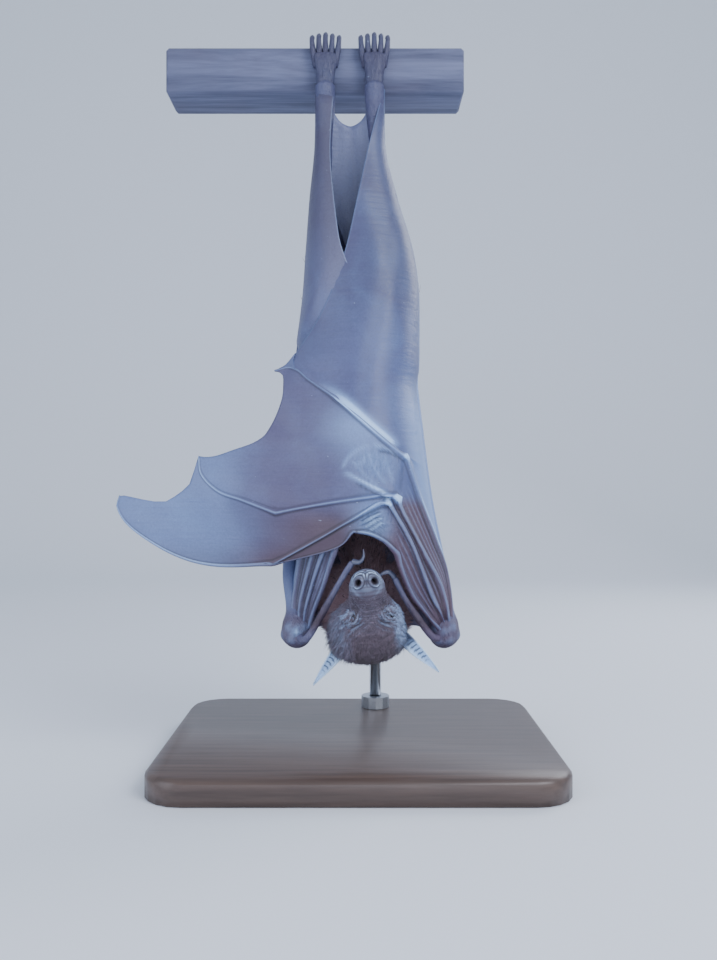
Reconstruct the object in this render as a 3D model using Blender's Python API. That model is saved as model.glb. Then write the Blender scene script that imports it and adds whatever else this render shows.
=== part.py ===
"""A life-size large flying fox, roosting head down with its wings wrapped round it, on a display stand.

Metres, +Z up, with the origin at the centre of the base's underside. The belly faces -Y, so the bat's own
right is at +X. The right wing lies over the left one and its tip stands free past the left side. Each named
part of the body is one solid, and neighbours keep a thin cut between them.
"""

import math

import bmesh
import bpy
from mathutils import Vector

MM = 0.001
GAP = 0.35 * MM  # the cut between two pieces that touch
MEMBRANE = 0.8 * MM  # thickness of every wing membrane

# The wrapped body, as stations up its height: height, left edge, right edge, front depth, back depth.
WRAP = (
    (0.105, -0.0590, 0.0761, 0.050, 0.026),
    (0.128, -0.0589, 0.0722, 0.064, 0.037),
    (0.160, -0.0585, 0.0665, 0.084, 0.044),
    (0.205, -0.0578, 0.0585, 0.092, 0.046),
    (0.260, -0.0556, 0.0524, 0.079, 0.045),
    (0.300, -0.0530, 0.0487, 0.064, 0.044),
    (0.364, -0.0448, 0.0484, 0.048, 0.037),
    (0.401, -0.0420, 0.0436, 0.040, 0.030),
    (0.444, -0.0388, 0.0308, 0.030, 0.023),
    (0.484, -0.0348, 0.0212, 0.0205, 0.016),
    (0.533, -0.0340, 0.0204, 0.0150, 0.010),
)
ROUNDNESS = 2.5  # power of the wrap's section: 2 is an ellipse, more is squarer
SIDE_DEPTH = (
    (0.093, -0.042),
    (0.107, -0.040),
    (0.204, -0.012),
    (0.292, 0.012),
    (0.340, 0.007),
    (0.533, -0.004),
)
# How deep the left wing lies under the right one, by height, and how far left the right one covers it.
LEFT_WING_INSET = ((0.31, 0.0078), (0.39, 0.0030), (0.44, 0.0005), (0.48, 0.0))
COVERED = (
    (0.270, -0.100),
    (0.302, -0.070),
    (0.316, -0.048),
    (0.348, -0.027),
    (0.391, -0.011),
    (0.471, 0.006),
)

# The forearm, with the knob of the wrist at its lower end: height, radius.
FOREARM = (
    (0.093, 0.0020),
    (0.096, 0.0085),
    (0.105, 0.0120),
    (0.113, 0.0112),
    (0.124, 0.0074),
    (0.150, 0.0056),
    (0.204, 0.0065),
    (0.250, 0.0070),
    (0.289, 0.0074),
    (0.297, 0.0056),
    (0.303, 0.0028),
    (0.306, 0.0010),
)
ELBOW = (0.289, 0.0074)
WRIST_HEIGHT = 0.107
WRIST_X = {"right": 0.0645, "left": -0.0465}
WRIST_SIZE = Vector((0.0120, 0.0120, 0.0140))

# Each finger's bones from the wrist outward, each by the x and height of its points.
RIGHT_DIGITS = {
    2: (
        ((0.0634, 0.1047), (0.0515, 0.1203), (0.0399, 0.1355), (0.0314, 0.1536), (0.0268, 0.1689)),
        ((0.0268, 0.1689), (0.0181, 0.1774), (0.0074, 0.1825), (-0.0039, 0.1840)),
    ),
    3: (
        ((0.0650, 0.1110), (0.0511, 0.1413), (0.0362, 0.1770), (0.0212, 0.2045)),
        ((0.0212, 0.2045), (0.0110, 0.2010), (-0.0202, 0.1825), (-0.0619, 0.1592)),
        (
            (-0.0619, 0.1592),
            (-0.1056, 0.1572),
            (-0.1377, 0.1649),
            (-0.1690, 0.1836),
            (-0.1805, 0.1985),
            (-0.1787, 0.2080),
        ),
    ),
    4: (
        ((0.0682, 0.1107), (0.0604, 0.1407), (0.0460, 0.1682), (0.0326, 0.1945), (0.0285, 0.2090)),
        ((0.0285, 0.2090), (0.0180, 0.2118), (-0.0159, 0.2051), (-0.0412, 0.2001), (-0.0590, 0.1964)),
        ((-0.0590, 0.1964), (-0.0842, 0.2056), (-0.1019, 0.2116), (-0.1150, 0.2235), (-0.1183, 0.2376)),
    ),
    5: (
        ((0.0706, 0.1106), (0.0660, 0.1491), (0.0557, 0.1757), (0.0430, 0.2077), (0.0334, 0.2365)),
        ((0.0334, 0.2365), (0.0277, 0.2401), (0.0054, 0.2592), (-0.0165, 0.2793)),
        ((-0.0165, 0.2793), (-0.0367, 0.2941), (-0.0451, 0.3015), (-0.0535, 0.3046), (-0.0635, 0.3022)),
    ),
}
LEFT_DIGITS = {
    2: (
        ((-0.0372, 0.1089), (-0.0339, 0.1218), (-0.0268, 0.1406), (-0.0170, 0.1693)),
        ((-0.0170, 0.1693), (-0.0125, 0.1830), (-0.0070, 0.1949)),
    ),
    3: (
        ((-0.0410, 0.1120), (-0.0375, 0.1300), (-0.0265, 0.1650), (-0.0110, 0.2050)),
        ((-0.0110, 0.2050), (0.0100, 0.2030), (0.0300, 0.2060)),
        ((0.0300, 0.2060), (0.0370, 0.2250), (0.0375, 0.2550)),
    ),
    4: (
        ((-0.0445, 0.1120), (-0.0425, 0.1300), (-0.0330, 0.1650), (-0.0180, 0.2200)),
        ((-0.0180, 0.2200), (0.0040, 0.2280), (0.0220, 0.2440)),
        ((0.0220, 0.2440), (0.0270, 0.2620), (0.0260, 0.2820)),
    ),
    5: (
        ((-0.0490, 0.1120), (-0.0480, 0.1300), (-0.0400, 0.1700), (-0.0250, 0.2360)),
        ((-0.0250, 0.2360), (-0.0100, 0.2560), (0.0060, 0.2740)),
        ((0.0060, 0.2740), (0.0140, 0.2870), (0.0180, 0.3020)),
    ),
}
# How far each finger stands behind the wrap's face.
DIGIT_DEPTH = {2: -0.0010, 3: -0.0012, 4: -0.0008, 5: 0.0020}
# How much further the membranes keep from each joint of a finger, and from its tip.
JOINT_ROOM = ((1, 0.0004), (2, 0.0015), (3, 0.0036))
DIGIT_RADIUS = (
    (0.00, 0.0017),
    (0.45, 0.0022),
    (0.85, 0.0020),
    (1.00, 0.0024),
    (1.12, 0.0018),
    (1.90, 0.0014),
    (2.00, 0.0018),
    (2.10, 0.0013),
    (3.00, 0.0006),
)
# The strip of membrane in front of the second finger ends at the third finger's middle joint.
RIGHT_LEADING_EDGE = ((-0.0039, 0.1840), (-0.0131, 0.1733), (-0.0345, 0.1660), (-0.0619, 0.1592))
LEFT_LEADING_EDGE = ((-0.0070, 0.1949), (0.0060, 0.1965), (0.0180, 0.1980), (0.0300, 0.2060))
# Where along their first bones the third and fourth fingers part, so that membrane shows between them.
PARTED = {"right": 1.03, "left": 0.62}
# How far the membranes' free edges are cut back between the fingertips, in bones.
SCALLOP = {"3_4": 0.15, "4_5": 0.48}

# The wings' free edges, from the ankle to the fifth fingertip, by x and height.
RIGHT_TRAILING_EDGE = (
    (0.0202, 0.5300),
    (0.0129, 0.5017),
    (0.0058, 0.4714),
    (-0.0012, 0.4352),
    (-0.0110, 0.3915),
    (-0.0274, 0.3476),
    (-0.0477, 0.3161),
    (-0.0635, 0.3022),
)
LEFT_TRAILING_EDGE = (
    (-0.0196, 0.5200),
    (-0.0216, 0.4938),
    (-0.0214, 0.4644),
    (-0.0157, 0.4111),
    (-0.0110, 0.3915),
    (0.0040, 0.3500),
    (0.0180, 0.3020),
)

# The trunk: height, half width, half depth, centre x, centre y.
TRUNK = (
    (0.396, 0.000, 0.000, -0.001, 0.012),
    (0.393, 0.011, 0.010, -0.001, 0.012),
    (0.385, 0.018, 0.016, -0.001, 0.012),
    (0.362, 0.023, 0.020, -0.001, 0.013),
    (0.330, 0.025, 0.023, -0.001, 0.014),
    (0.290, 0.026, 0.024, -0.002, 0.014),
    (0.250, 0.030, 0.027, 0.000, 0.014),
    (0.210, 0.033, 0.029, 0.002, 0.014),
    (0.180, 0.033, 0.029, 0.003, 0.013),
    (0.160, 0.028, 0.025, 0.004, 0.011),
    (0.150, 0.018, 0.016, 0.004, 0.010),
    (0.146, 0.000, 0.000, 0.004, 0.010),
)

# The head lies along an axis from the nose back to the crown.
NOSE = Vector((0.005, -0.100, 0.149))
HEAD_PITCH = math.radians(45)
HEAD_YAW = math.radians(4.6)
HEAD_ROLL = math.radians(7)
# Behind the nose: distance, half width, height above the axis (forehead side), depth below it (throat side).
HEAD = (
    (-0.0035, 0.0000, 0.0000, 0.0000),
    (-0.0025, 0.0055, 0.0035, 0.0050),
    (0.000, 0.0092, 0.0050, 0.0080),
    (0.006, 0.0122, 0.0080, 0.0110),
    (0.014, 0.0132, 0.0095, 0.0130),
    (0.024, 0.0142, 0.0110, 0.0140),
    (0.034, 0.0185, 0.0140, 0.0150),
    (0.042, 0.0240, 0.0175, 0.0170),
    (0.052, 0.0280, 0.0210, 0.0190),
    (0.062, 0.0305, 0.0220, 0.0200),
    (0.072, 0.0290, 0.0200, 0.0200),
    (0.082, 0.0225, 0.0150, 0.0170),
    (0.089, 0.0120, 0.0080, 0.0090),
    (0.091, 0.0000, 0.0000, 0.0000),
)
EYE_RADIUS = 0.0058
EYE_PLACE = (0.0345, 0.0122, 0.0075)  # behind the nose, out from the middle, up from the axis
EAR_BASE = (0.070, 0.0250, 0.0080)
EAR_TIP = {"left": Vector((-0.0345, -0.050, 0.066)), "right": Vector((0.0610, -0.050, 0.076))}
EAR_WIDTH = 0.0068  # radius of its rolled cone at the widest
NECK_ROUTE = (
    (0.0095, -0.047, 0.103),
    (0.0080, -0.022, 0.122),
    (0.0050, 0.006, 0.160),
    (0.0040, 0.012, 0.185),
)
NECK_RADIUS = ((0.0, 0.0185), (0.4, 0.0225), (0.75, 0.0235), (1.0, 0.0200))

# Legs, from the ankle down to the hip inside the trunk.
LEG_ROUTE = {
    "right": (
        (0.0126, -0.0062, 0.5325),
        (0.0132, -0.0030, 0.5000),
        (0.0160, 0.0020, 0.4680),
        (0.0215, 0.0060, 0.4430),
        (0.0170, 0.0095, 0.4130),
        (0.0090, 0.0120, 0.3800),
    ),
    "left": (
        (-0.0264, -0.0062, 0.5325),
        (-0.0262, -0.0030, 0.5000),
        (-0.0272, 0.0020, 0.4680),
        (-0.0285, 0.0060, 0.4430),
        (-0.0210, 0.0095, 0.4130),
        (-0.0110, 0.0120, 0.3800),
    ),
}
LEG_RADIUS = ((0.0, 0.0068), (0.2, 0.0062), (0.45, 0.0070), (0.6, 0.0082), (0.8, 0.0100), (1.0, 0.0105))
TAIL_MEMBRANE_LOW, TAIL_MEMBRANE_NOTCH, TAIL_MEMBRANE_HIGH = 0.402, 0.503, 0.526

# The beam that it hangs from, and the stand.
BEAM_X = (-0.155, 0.085)
BEAM_Y = (0.004, 0.049)
BEAM_Z = (0.531, 0.568)
BEAM_EDGE = 0.0022
BASE_SIZE = (0.300, 0.240, 0.018)
BASE_CORNER = 0.030
BASE_EDGE = 0.003
ROD_RADIUS = 0.005
ROD_X, ROD_Y = 0.015, 0.086
ROD_END_HEIGHT = 0.5495
COLLAR_RADIUS, COLLAR_HEIGHT = 0.012, 0.010


# ---------------------------------------------------------------- reading the tables


def smooth(stations, at):
    """The values of a table at one place, with a smooth curve through its rows, held flat past its ends."""
    rows = sorted(stations)
    at = min(max(at, rows[0][0]), rows[-1][0])
    i = next(k for k in range(len(rows) - 1) if at <= rows[k + 1][0])
    before, low, high, after = rows[max(i - 1, 0)], rows[i], rows[i + 1], rows[min(i + 2, len(rows) - 1)]
    span = high[0] - low[0]
    t = (at - low[0]) / span
    found = []
    for k in range(1, len(low)):
        rise = (high[k] - low[k]) / span
        slopes = []
        for first, last in ((before, high), (low, after)):
            slope = (last[k] - first[k]) / (last[0] - first[0])
            # A slope against the step, or too steep for it, would overshoot the table's own values.
            slopes.append(0.0 if slope * rise <= 0 else math.copysign(min(abs(slope), 3 * abs(rise)), rise))
        a, b = slopes
        found.append(
            low[k] * (1 + 2 * t) * (1 - t) ** 2
            + span * a * t * (1 - t) ** 2
            + high[k] * t * t * (3 - 2 * t)
            - span * b * t * t * (1 - t)
        )
    return found[0] if len(found) == 1 else found


class Route:
    """A smooth curve through points, read by its share of the length."""

    def __init__(self, points):
        self.points = [Vector(p) for p in points]
        self.reached = [0.0]
        for p, q in zip(self.points, self.points[1:]):
            self.reached.append(self.reached[-1] + (q - p).length)

    def __call__(self, share):
        at = min(max(share, 0.0), 1.0) * self.reached[-1]
        i = next(k for k in range(len(self.points) - 1) if at <= self.reached[k + 1] + 1e-12)
        t = (at - self.reached[i]) / (self.reached[i + 1] - self.reached[i])
        p1, p2 = self.points[i], self.points[i + 1]
        p0 = self.points[i - 1] if i else 2 * p1 - p2
        p3 = self.points[i + 2] if i + 2 < len(self.points) else 2 * p2 - p1
        return 0.5 * (
            2 * p1
            + (p2 - p0) * t
            + (2 * p0 - 5 * p1 + 4 * p2 - p3) * t * t
            + (3 * p1 - p0 - 3 * p2 + p3) * t**3
        )


def straight(table, at):
    """The value of a two-column table at one place, on straight lines between its rows."""
    i = next(k for k in range(len(table) - 1) if at <= table[k + 1][0] + 1e-9)
    (low, first), (high, last) = table[i], table[i + 1]
    return first + (last - first) * (at - low) / (high - low)


def ease(low, high, at):
    t = min(max((at - low) / (high - low), 0.0), 1.0)
    return t * t * (3 - 2 * t)


# ---------------------------------------------------------------- the faces of the wrap


def forearm_radius(height):
    return smooth(FOREARM, height)


def fold_radius(height):
    """The forearm's radius, carried on past the elbow, where it fades into the plain fold of the wing."""
    elbow, radius = ELBOW
    if height < elbow:
        return forearm_radius(height)
    return radius * (1 - ease(elbow + 0.006, elbow + 0.022, height))


def side_place(height, side):
    """Where the wrap turns from front to back on one side: the forearm's axis, and above it the fold."""
    left, right, _, _ = smooth(WRAP, height)
    edge = right - fold_radius(height) if side == "right" else left + fold_radius(height)
    edge += (WRIST_X[side] - edge) * (1 - ease(0.107, 0.150, height))
    return Vector((edge, smooth(SIDE_DEPTH, height), height))


def closed_front(x, height, inset=0.0):
    """Depth of the wrap's face where it closes round the body."""
    left, right, front, _ = smooth(WRAP, height)
    middle = (left + right) / 2
    reach = right - middle - inset - 0.5 * fold_radius(height)
    side = smooth(SIDE_DEPTH, height) - fold_radius(height) - GAP
    share = min(abs(x - middle) / reach, 1.0)
    return side - (front - inset + side) * (1 - share**ROUNDNESS) ** (1 / ROUNDNESS)


def right_face(x, height):
    """Depth of the right wing: closed on its own side, and leaving the body for its tip on the other."""
    left, right, front, _ = smooth(WRAP, height)
    away = (left + right) / 2 - x
    if away <= 0:
        return closed_front(x, height)
    slope = 0.2 + 0.9 * max(0.0, height - 0.21)
    free = -front + slope * away + 0.3 * away**2
    flush = ease(0.29, 0.36, height)
    return free * (1 - flush) + closed_front(x, height) * flush


def left_inset(x, height):
    edge = smooth(COVERED, height)
    return smooth(LEFT_WING_INSET, height) * ease(edge - 0.012, edge + 0.004, x)


def left_face(x, height):
    return closed_front(x, height, left_inset(x, height))


FACE = {"right": right_face, "left": left_face}


def on_face(side, points, behind=0.0):
    """Points given by x and height, set at the depth of one wing's face."""
    return [Vector((x, FACE[side](x, height) + behind, height)) for x, height in points]


# ---------------------------------------------------------------- making solids


def material(name, colour, roughness, metallic=0.0):
    made = bpy.data.materials.new(name)
    made.use_nodes = True
    shader = made.node_tree.nodes["Principled BSDF"]
    linear = [(int(colour[i : i + 2], 16) / 255) ** 2.2 for i in (0, 2, 4)]
    shader.inputs["Base Color"].default_value = (*linear, 1)
    shader.inputs["Roughness"].default_value = roughness
    shader.inputs["Metallic"].default_value = metallic
    return made


def finished(name, mesh, finish, hidden=False):
    data = bpy.data.meshes.new(name)
    mesh.to_mesh(data)
    mesh.free()
    data.shade_smooth()
    data.materials.append(finish)
    made = bpy.data.objects.new(name, data)
    bpy.context.collection.objects.link(made)
    if hidden:
        made.hide_render = True
        made.display_type = "WIRE"
    return made


def mapped(name, place, columns, rows, finish, hidden=False):
    """A grid bent into shape: place(a, b) gives the point for a across and b along, each from 0 to 1."""
    mesh = bmesh.new()
    bmesh.ops.create_grid(mesh, x_segments=columns, y_segments=rows, size=0.5)
    for vertex in mesh.verts:
        vertex.co = place(vertex.co.x + 0.5, vertex.co.y + 0.5)
    bmesh.ops.remove_doubles(mesh, verts=mesh.verts, dist=1e-6)
    bmesh.ops.recalc_face_normals(mesh, faces=mesh.faces)
    return finished(name, mesh, finish, hidden)


def sheet(name, place, columns, rows, finish, thickness=MEMBRANE):
    """An open surface given a wall, half of it on each side."""
    made = mapped(name, place, columns, rows, finish)
    wall = made.modifiers.new("wall", "SOLIDIFY")
    wall.thickness = thickness
    wall.offset = 0.0
    return made


def tube(name, route, radius, finish, rows, sides, hidden=False):
    """A rod along a route, with its own radius at each share of its length and blunt closed ends."""
    length = sum((route((i + 1) / 20) - route(i / 20)).length for i in range(20))
    start, end = 0.6 * radius(0.0) / length, 1 - 0.6 * radius(1.0) / length
    rings = [(0.0, 0.0), (0.0, 0.6)]
    rings += [(start + (end - start) * i / rows, 1.0) for i in range(rows + 1)]
    rings += [(1.0, 0.6), (1.0, 0.0)]
    step = 0.5 / rows
    frames = []
    across = Vector((0.31, 0.21, 0.93))
    for share, _ in rings:
        along = (route(min(share + step, 1.0)) - route(max(share - step, 0.0))).normalized()
        across = (across - across.dot(along) * along).normalized()
        frames.append((route(share), across.copy(), along.cross(across)))

    def place(a, b):
        i = round(b * (len(rings) - 1))
        centre, right, up = frames[i]
        reach = radius(rings[i][0]) * rings[i][1]
        turn = math.tau * a
        return centre + reach * (math.cos(turn) * right + math.sin(turn) * up)

    return mapped(name, place, sides, len(rings) - 1, finish, hidden)


def combine(operation, made, other):
    step = made.modifiers.new(operation.lower(), "BOOLEAN")
    step.operation = operation
    step.object = other


def block(low, high):
    mesh = bmesh.new()
    bmesh.ops.create_cube(mesh, size=1.0)
    low, high = Vector(low), Vector(high)
    bmesh.ops.scale(mesh, vec=high - low, verts=mesh.verts)
    bmesh.ops.translate(mesh, vec=(low + high) / 2, verts=mesh.verts)
    return mesh


def ball(name, centre, radius, finish, hidden=False):
    mesh = bmesh.new()
    bmesh.ops.create_uvsphere(mesh, u_segments=8, v_segments=6, radius=radius)
    bmesh.ops.translate(mesh, vec=centre, verts=mesh.verts)
    return finished(name, mesh, finish, hidden)


# ---------------------------------------------------------------- stand and perch


def make_base(wood):
    width, depth, thickness = BASE_SIZE
    mesh = block((-width / 2, -depth / 2, 0), (width / 2, depth / 2, thickness))
    upright = [e for e in mesh.edges if abs(e.verts[0].co.z - e.verts[1].co.z) > thickness / 2]
    bmesh.ops.bevel(mesh, geom=upright, offset=BASE_CORNER, segments=5, profile=0.5, affect="EDGES")
    rim = [e for e in mesh.edges if min(v.co.z for v in e.verts) > thickness - 1e-6]
    bmesh.ops.bevel(mesh, geom=rim, offset=BASE_EDGE, segments=1, profile=0.5, affect="EDGES")
    finished("stand_base", mesh, wood)


def make_rod(steel):
    """Up behind the back, round a quarter bend and into the back of the beam."""
    foot = Vector((ROD_X, ROD_Y, BASE_SIZE[2] + GAP))
    end = Vector((ROD_X, BEAM_Y[1] + GAP, ROD_END_HEIGHT))
    bend = ROD_Y - end.y - ROD_RADIUS
    centre = Vector((ROD_X, ROD_Y - bend, ROD_END_HEIGHT - bend))
    turns = [math.pi / 2 * i / 6 for i in range(7)]
    points = [foot] + [centre + bend * Vector((0, math.cos(turn), math.sin(turn))) for turn in turns] + [end]
    curve = bpy.data.curves.new("stand_rod", "CURVE")
    curve.dimensions = "3D"
    curve.bevel_depth = ROD_RADIUS
    curve.bevel_resolution = 3
    curve.use_fill_caps = True
    spline = curve.splines.new("POLY")
    spline.points.add(len(points) - 1)
    for spline_point, point in zip(spline.points, points):
        spline_point.co = (*point, 1)
    curve.materials.append(steel)
    bpy.context.collection.objects.link(bpy.data.objects.new("stand_rod", curve))

    def ring(a, b):
        outward, upward = ((0, 0), (1, 0), (1, 1), (0, 1), (0, 0))[round(b * 4)]
        reach = ROD_RADIUS + GAP + outward * (COLLAR_RADIUS - ROD_RADIUS)
        height = foot.z + upward * COLLAR_HEIGHT
        turn = math.tau * a
        return Vector((ROD_X + reach * math.cos(turn), ROD_Y + reach * math.sin(turn), height))

    mapped("stand_collar", ring, 12, 4, steel)


def make_beam(wood):
    mesh = block(*zip(BEAM_X, BEAM_Y, BEAM_Z))
    bmesh.ops.bevel(mesh, geom=mesh.edges[:], offset=BEAM_EDGE, segments=1, profile=0.5, affect="EDGES")
    finished("perch_beam", mesh, wood)


# ---------------------------------------------------------------- trunk, neck and head


def closer_at_ends(share):
    """Spreads a shape's rings so that they crowd toward its two closed ends."""
    return 0.5 - 0.5 * math.cos(math.pi * share)


def trunk_place(grow):
    top, bottom = TRUNK[0][0], TRUNK[-1][0]

    def place(a, b):
        share = closer_at_ends(b)
        height = top + (bottom - top) * share
        half_width, half_depth, x, y = smooth(TRUNK, height)
        if 0 < b < 1:
            half_width, half_depth = half_width + grow, half_depth + grow
        turn = math.tau * a
        up = grow * (1 - 2 * share)
        return Vector((x + half_width * math.cos(turn), y + half_depth * math.sin(turn), height + up))

    return place


def head_axes():
    back = Vector((math.sin(HEAD_YAW), math.cos(HEAD_PITCH), -math.sin(HEAD_PITCH))).normalized()
    out = Vector((math.cos(HEAD_ROLL), 0, math.sin(HEAD_ROLL)))
    out = (out - out.dot(back) * back).normalized()
    return back, out, back.cross(out)


def in_head(behind, outward, up):
    """A place in the head by its own axes: behind the nose, toward the bat's right, toward the forehead."""
    back, out, top = head_axes()
    return NOSE + behind * back + outward * out + up * top


def head_place(grow):
    first, last = HEAD[0][0] - grow, HEAD[-1][0] + grow

    def place(a, b):
        behind = first + (last - first) * (b + closer_at_ends(b)) / 2
        half_width, above, below = smooth(HEAD, behind)
        if 0 < b < 1:
            half_width, above, below = half_width + grow, above + grow, below + grow
        turn = math.tau * a
        tall = above if math.sin(turn) > 0 else below
        return in_head(behind, half_width * math.cos(turn), tall * math.sin(turn))

    return place


def ear_place(side):
    """A rolled, pointed ear: its open side faces forward and outward."""
    sign = 1 if side == "right" else -1
    base = in_head(EAR_BASE[0], sign * EAR_BASE[1], EAR_BASE[2])
    tip = EAR_TIP[side]
    along = (tip - base).normalized()
    open_side = Vector((sign * 0.35, -1.0, -0.1))
    open_side = (open_side - open_side.dot(along) * along).normalized()
    across = along.cross(open_side)
    root = base - 0.008 * along

    def place(a, b):
        centre = root.lerp(tip, b)
        reach = EAR_WIDTH * (1.02 - b) ** 0.62 * (0.72 + 0.85 * b * (1 - b))
        turn = math.radians(235) * (a - 0.5)
        return centre + reach * (math.sin(turn) * across - math.cos(turn) * open_side)

    return place


def make_body(fur, skin, eye):
    mapped("trunk", trunk_place(0.0), 12, 14, fur)
    trunk_room = mapped("trunk_room", trunk_place(GAP), 12, 14, fur, hidden=True)
    head = mapped("head", head_place(0.0), 12, 15, fur)
    head_room = mapped("head_room", head_place(GAP), 12, 15, fur, hidden=True)
    neck = tube("neck", Route(NECK_ROUTE), lambda share: smooth(NECK_RADIUS, share), fur, rows=4, sides=12)
    combine("DIFFERENCE", neck, head_room)
    combine("DIFFERENCE", neck, trunk_room)
    for side, sign in (("right", 1), ("left", -1)):
        centre = in_head(EYE_PLACE[0], sign * EYE_PLACE[1], EYE_PLACE[2])
        ball(f"eye_{side}", centre, EYE_RADIUS, eye)
        combine("DIFFERENCE", head, ball(f"eye_room_{side}", centre, EYE_RADIUS + GAP, eye, hidden=True))
        ear = sheet(f"ear_{side}", ear_place(side), 5, 5, skin, thickness=1.2 * MM)
        combine("DIFFERENCE", ear, head_room)
    return trunk_room


# ---------------------------------------------------------------- legs and feet


def toe_routes(side):
    """The toes climb the front of the beam and hook over its top; the claws carry on behind the edge."""
    ankle = Vector(LEG_ROUTE[side][0])
    outward = 1 if side == "right" else -1
    front, top = BEAM_Y[0], BEAM_Z[1]
    for i in range(5):
        spread = (i - 2) * outward
        wide = ankle.x + 0.0050 * spread
        lift = 0.0012 * math.cos(1.4 * (i - 2))
        toe = (
            (ankle.x + 0.0033 * spread, front - 0.0056, 0.5470),
            (wide - 0.0006 * spread, front - 0.0062, 0.5590),
            (wide, front - 0.0054, top + 0.0035 + lift),
            (wide, front + 0.0008, top + 0.0090 + lift),
        )
        claw = (
            (wide, front + 0.0022, top + 0.0094 + lift),
            (wide, front + 0.0085, top + 0.0088 + lift),
            (wide + 0.0004 * spread, front + 0.0130, top + 0.0050),
            (wide + 0.0004 * spread, front + 0.0146, top + 0.0012),
        )
        yield i + 1, Route(toe), Route(claw)


# The sole: share of its length, half width, half depth.
SOLE = (
    (0.00, 0.0000, 0.0000),
    (0.06, 0.0055, 0.0045),
    (0.50, 0.0078, 0.0053),
    (0.94, 0.0082, 0.0042),
    (1.00, 0.0000, 0.0000),
)


def claw_radius(root):
    return lambda share: root * (1 - share) ** 0.7 + 0.0004


def make_foot(side, skin, horn):
    ankle = Vector(LEG_ROUTE[side][0])
    low = ankle + Vector((0, 0, 0.0010))
    high = Vector((ankle.x, BEAM_Y[0] - 0.0058, 0.5520))

    def sole(a, b):
        half_width, half_depth = smooth(SOLE, b)
        turn = math.tau * a
        return low.lerp(high, b) + Vector((half_width * math.cos(turn), half_depth * math.sin(turn), 0))

    foot = mapped(f"foot_{side}", sole, 8, 5, skin)
    for number, toe, claw in toe_routes(side):
        name = f"{side}_{number}"
        toe_part = tube(f"toe_{name}", toe, lambda share: 0.0024 - 0.0004 * share, skin, 3, 5, hidden=True)
        combine("UNION", foot, toe_part)
        tube(f"claw_{name}", claw, claw_radius(0.0017), horn, rows=2, sides=5)


def make_leg(side, fur, trunk_room):
    leg = tube(f"leg_{side}", Route(LEG_ROUTE[side]), lambda share: smooth(LEG_RADIUS, share), fur, 10, 8)
    combine("DIFFERENCE", leg, trunk_room)


def leg_at(side, height):
    """The leg's axis and radius at one height."""
    route = Route(LEG_ROUTE[side])
    low, high = 0.0, 1.0
    for _ in range(24):
        middle = (low + high) / 2
        if route(middle).z > height:
            low = middle
        else:
            high = middle
    return route(low), smooth(LEG_RADIUS, low)


def make_tail_membrane(skin):
    """The web between the legs, cut back in a notch over the rump."""

    def place(a, b):
        notch = abs(2 * a - 1) ** 2.2
        high = TAIL_MEMBRANE_NOTCH + (TAIL_MEMBRANE_HIGH - TAIL_MEMBRANE_NOTCH) * notch
        height = TAIL_MEMBRANE_LOW + (high - TAIL_MEMBRANE_LOW) * b
        right, right_radius = leg_at("right", height)
        left, left_radius = leg_at("left", height)
        inner_right = right.x - right_radius - 3 * GAP
        inner_left = left.x + left_radius + 3 * GAP
        y = left.y + (right.y - left.y) * a + 0.004 * math.sin(math.pi * a)
        return Vector((inner_left + (inner_right - inner_left) * a, y, height))

    sheet("tail_membrane", place, 6, 8, skin)


# ---------------------------------------------------------------- arms and thumbs


def make_forearm(side, skin):
    top, bottom = FOREARM[-1][0], FOREARM[0][0]

    def height(share):
        # The knob of the wrist, in the last third, gets most of the rings.
        return top + (bottom - top) * share**0.62

    tube(
        f"wing_{side}_forearm",
        lambda share: side_place(height(share), side),
        lambda share: forearm_radius(height(share)),
        skin,
        rows=14,
        sides=7,
    )


def upper_arm_route(side):
    sign = 1 if side == "right" else -1
    shoulder = (0.002 + sign * 0.031, -0.014, 0.176)
    middle = (sign * 0.034, -0.011, 0.235)
    elbow = (-0.001 + sign * 0.034, -0.003, 0.282)
    return Route((shoulder, middle, elbow))


def make_upper_arm(side, fur, skin):
    arm = upper_arm_route(side)
    tube(f"wing_{side}_upper_arm", arm, lambda share: 0.0090 - 0.0022 * share, fur, rows=5, sides=8)
    low, high = 0.142, 0.198

    def gusset(a, b):
        """The fold of membrane in front of the elbow, from the forearm to the upper arm."""
        height = low + (high - low) * b
        inner = arm((height - 0.165) / (0.282 - 0.165))
        outer_edge = side_place(height, side), Vector((0, 0, 1))
        inner_edge = inner, (arm(0.9) - arm(0.1)).normalized()
        return between(outer_edge, inner_edge, a, forearm_radius(height) + 5 * GAP, 0.0100)

    sheet(f"wing_{side}_shoulder_membrane", gusset, 3, 4, skin)


THUMB = {
    "right": (
        (0.0560, -0.0535, 0.1030),
        (0.0450, -0.0605, 0.1165),
        (0.0345, -0.0665, 0.1325),
        (0.0262, -0.0735, 0.1490),
    ),
    "left": (
        (-0.0385, -0.0590, 0.1030),
        (-0.0270, -0.0635, 0.1215),
        (-0.0120, -0.0770, 0.1490),
        (-0.0046, -0.0830, 0.1610),
    ),
}
THUMB_CLAW = {
    "right": (
        (0.0257, -0.0740, 0.1502),
        (0.0215, -0.0775, 0.1540),
        (0.0165, -0.0785, 0.1525),
        (0.0130, -0.0770, 0.1480),
    ),
    "left": (
        (-0.0039, -0.0835, 0.1619),
        (0.0010, -0.0865, 0.1620),
        (0.0036, -0.0880, 0.1660),
        (0.0034, -0.0880, 0.1712),
    ),
}


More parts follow.
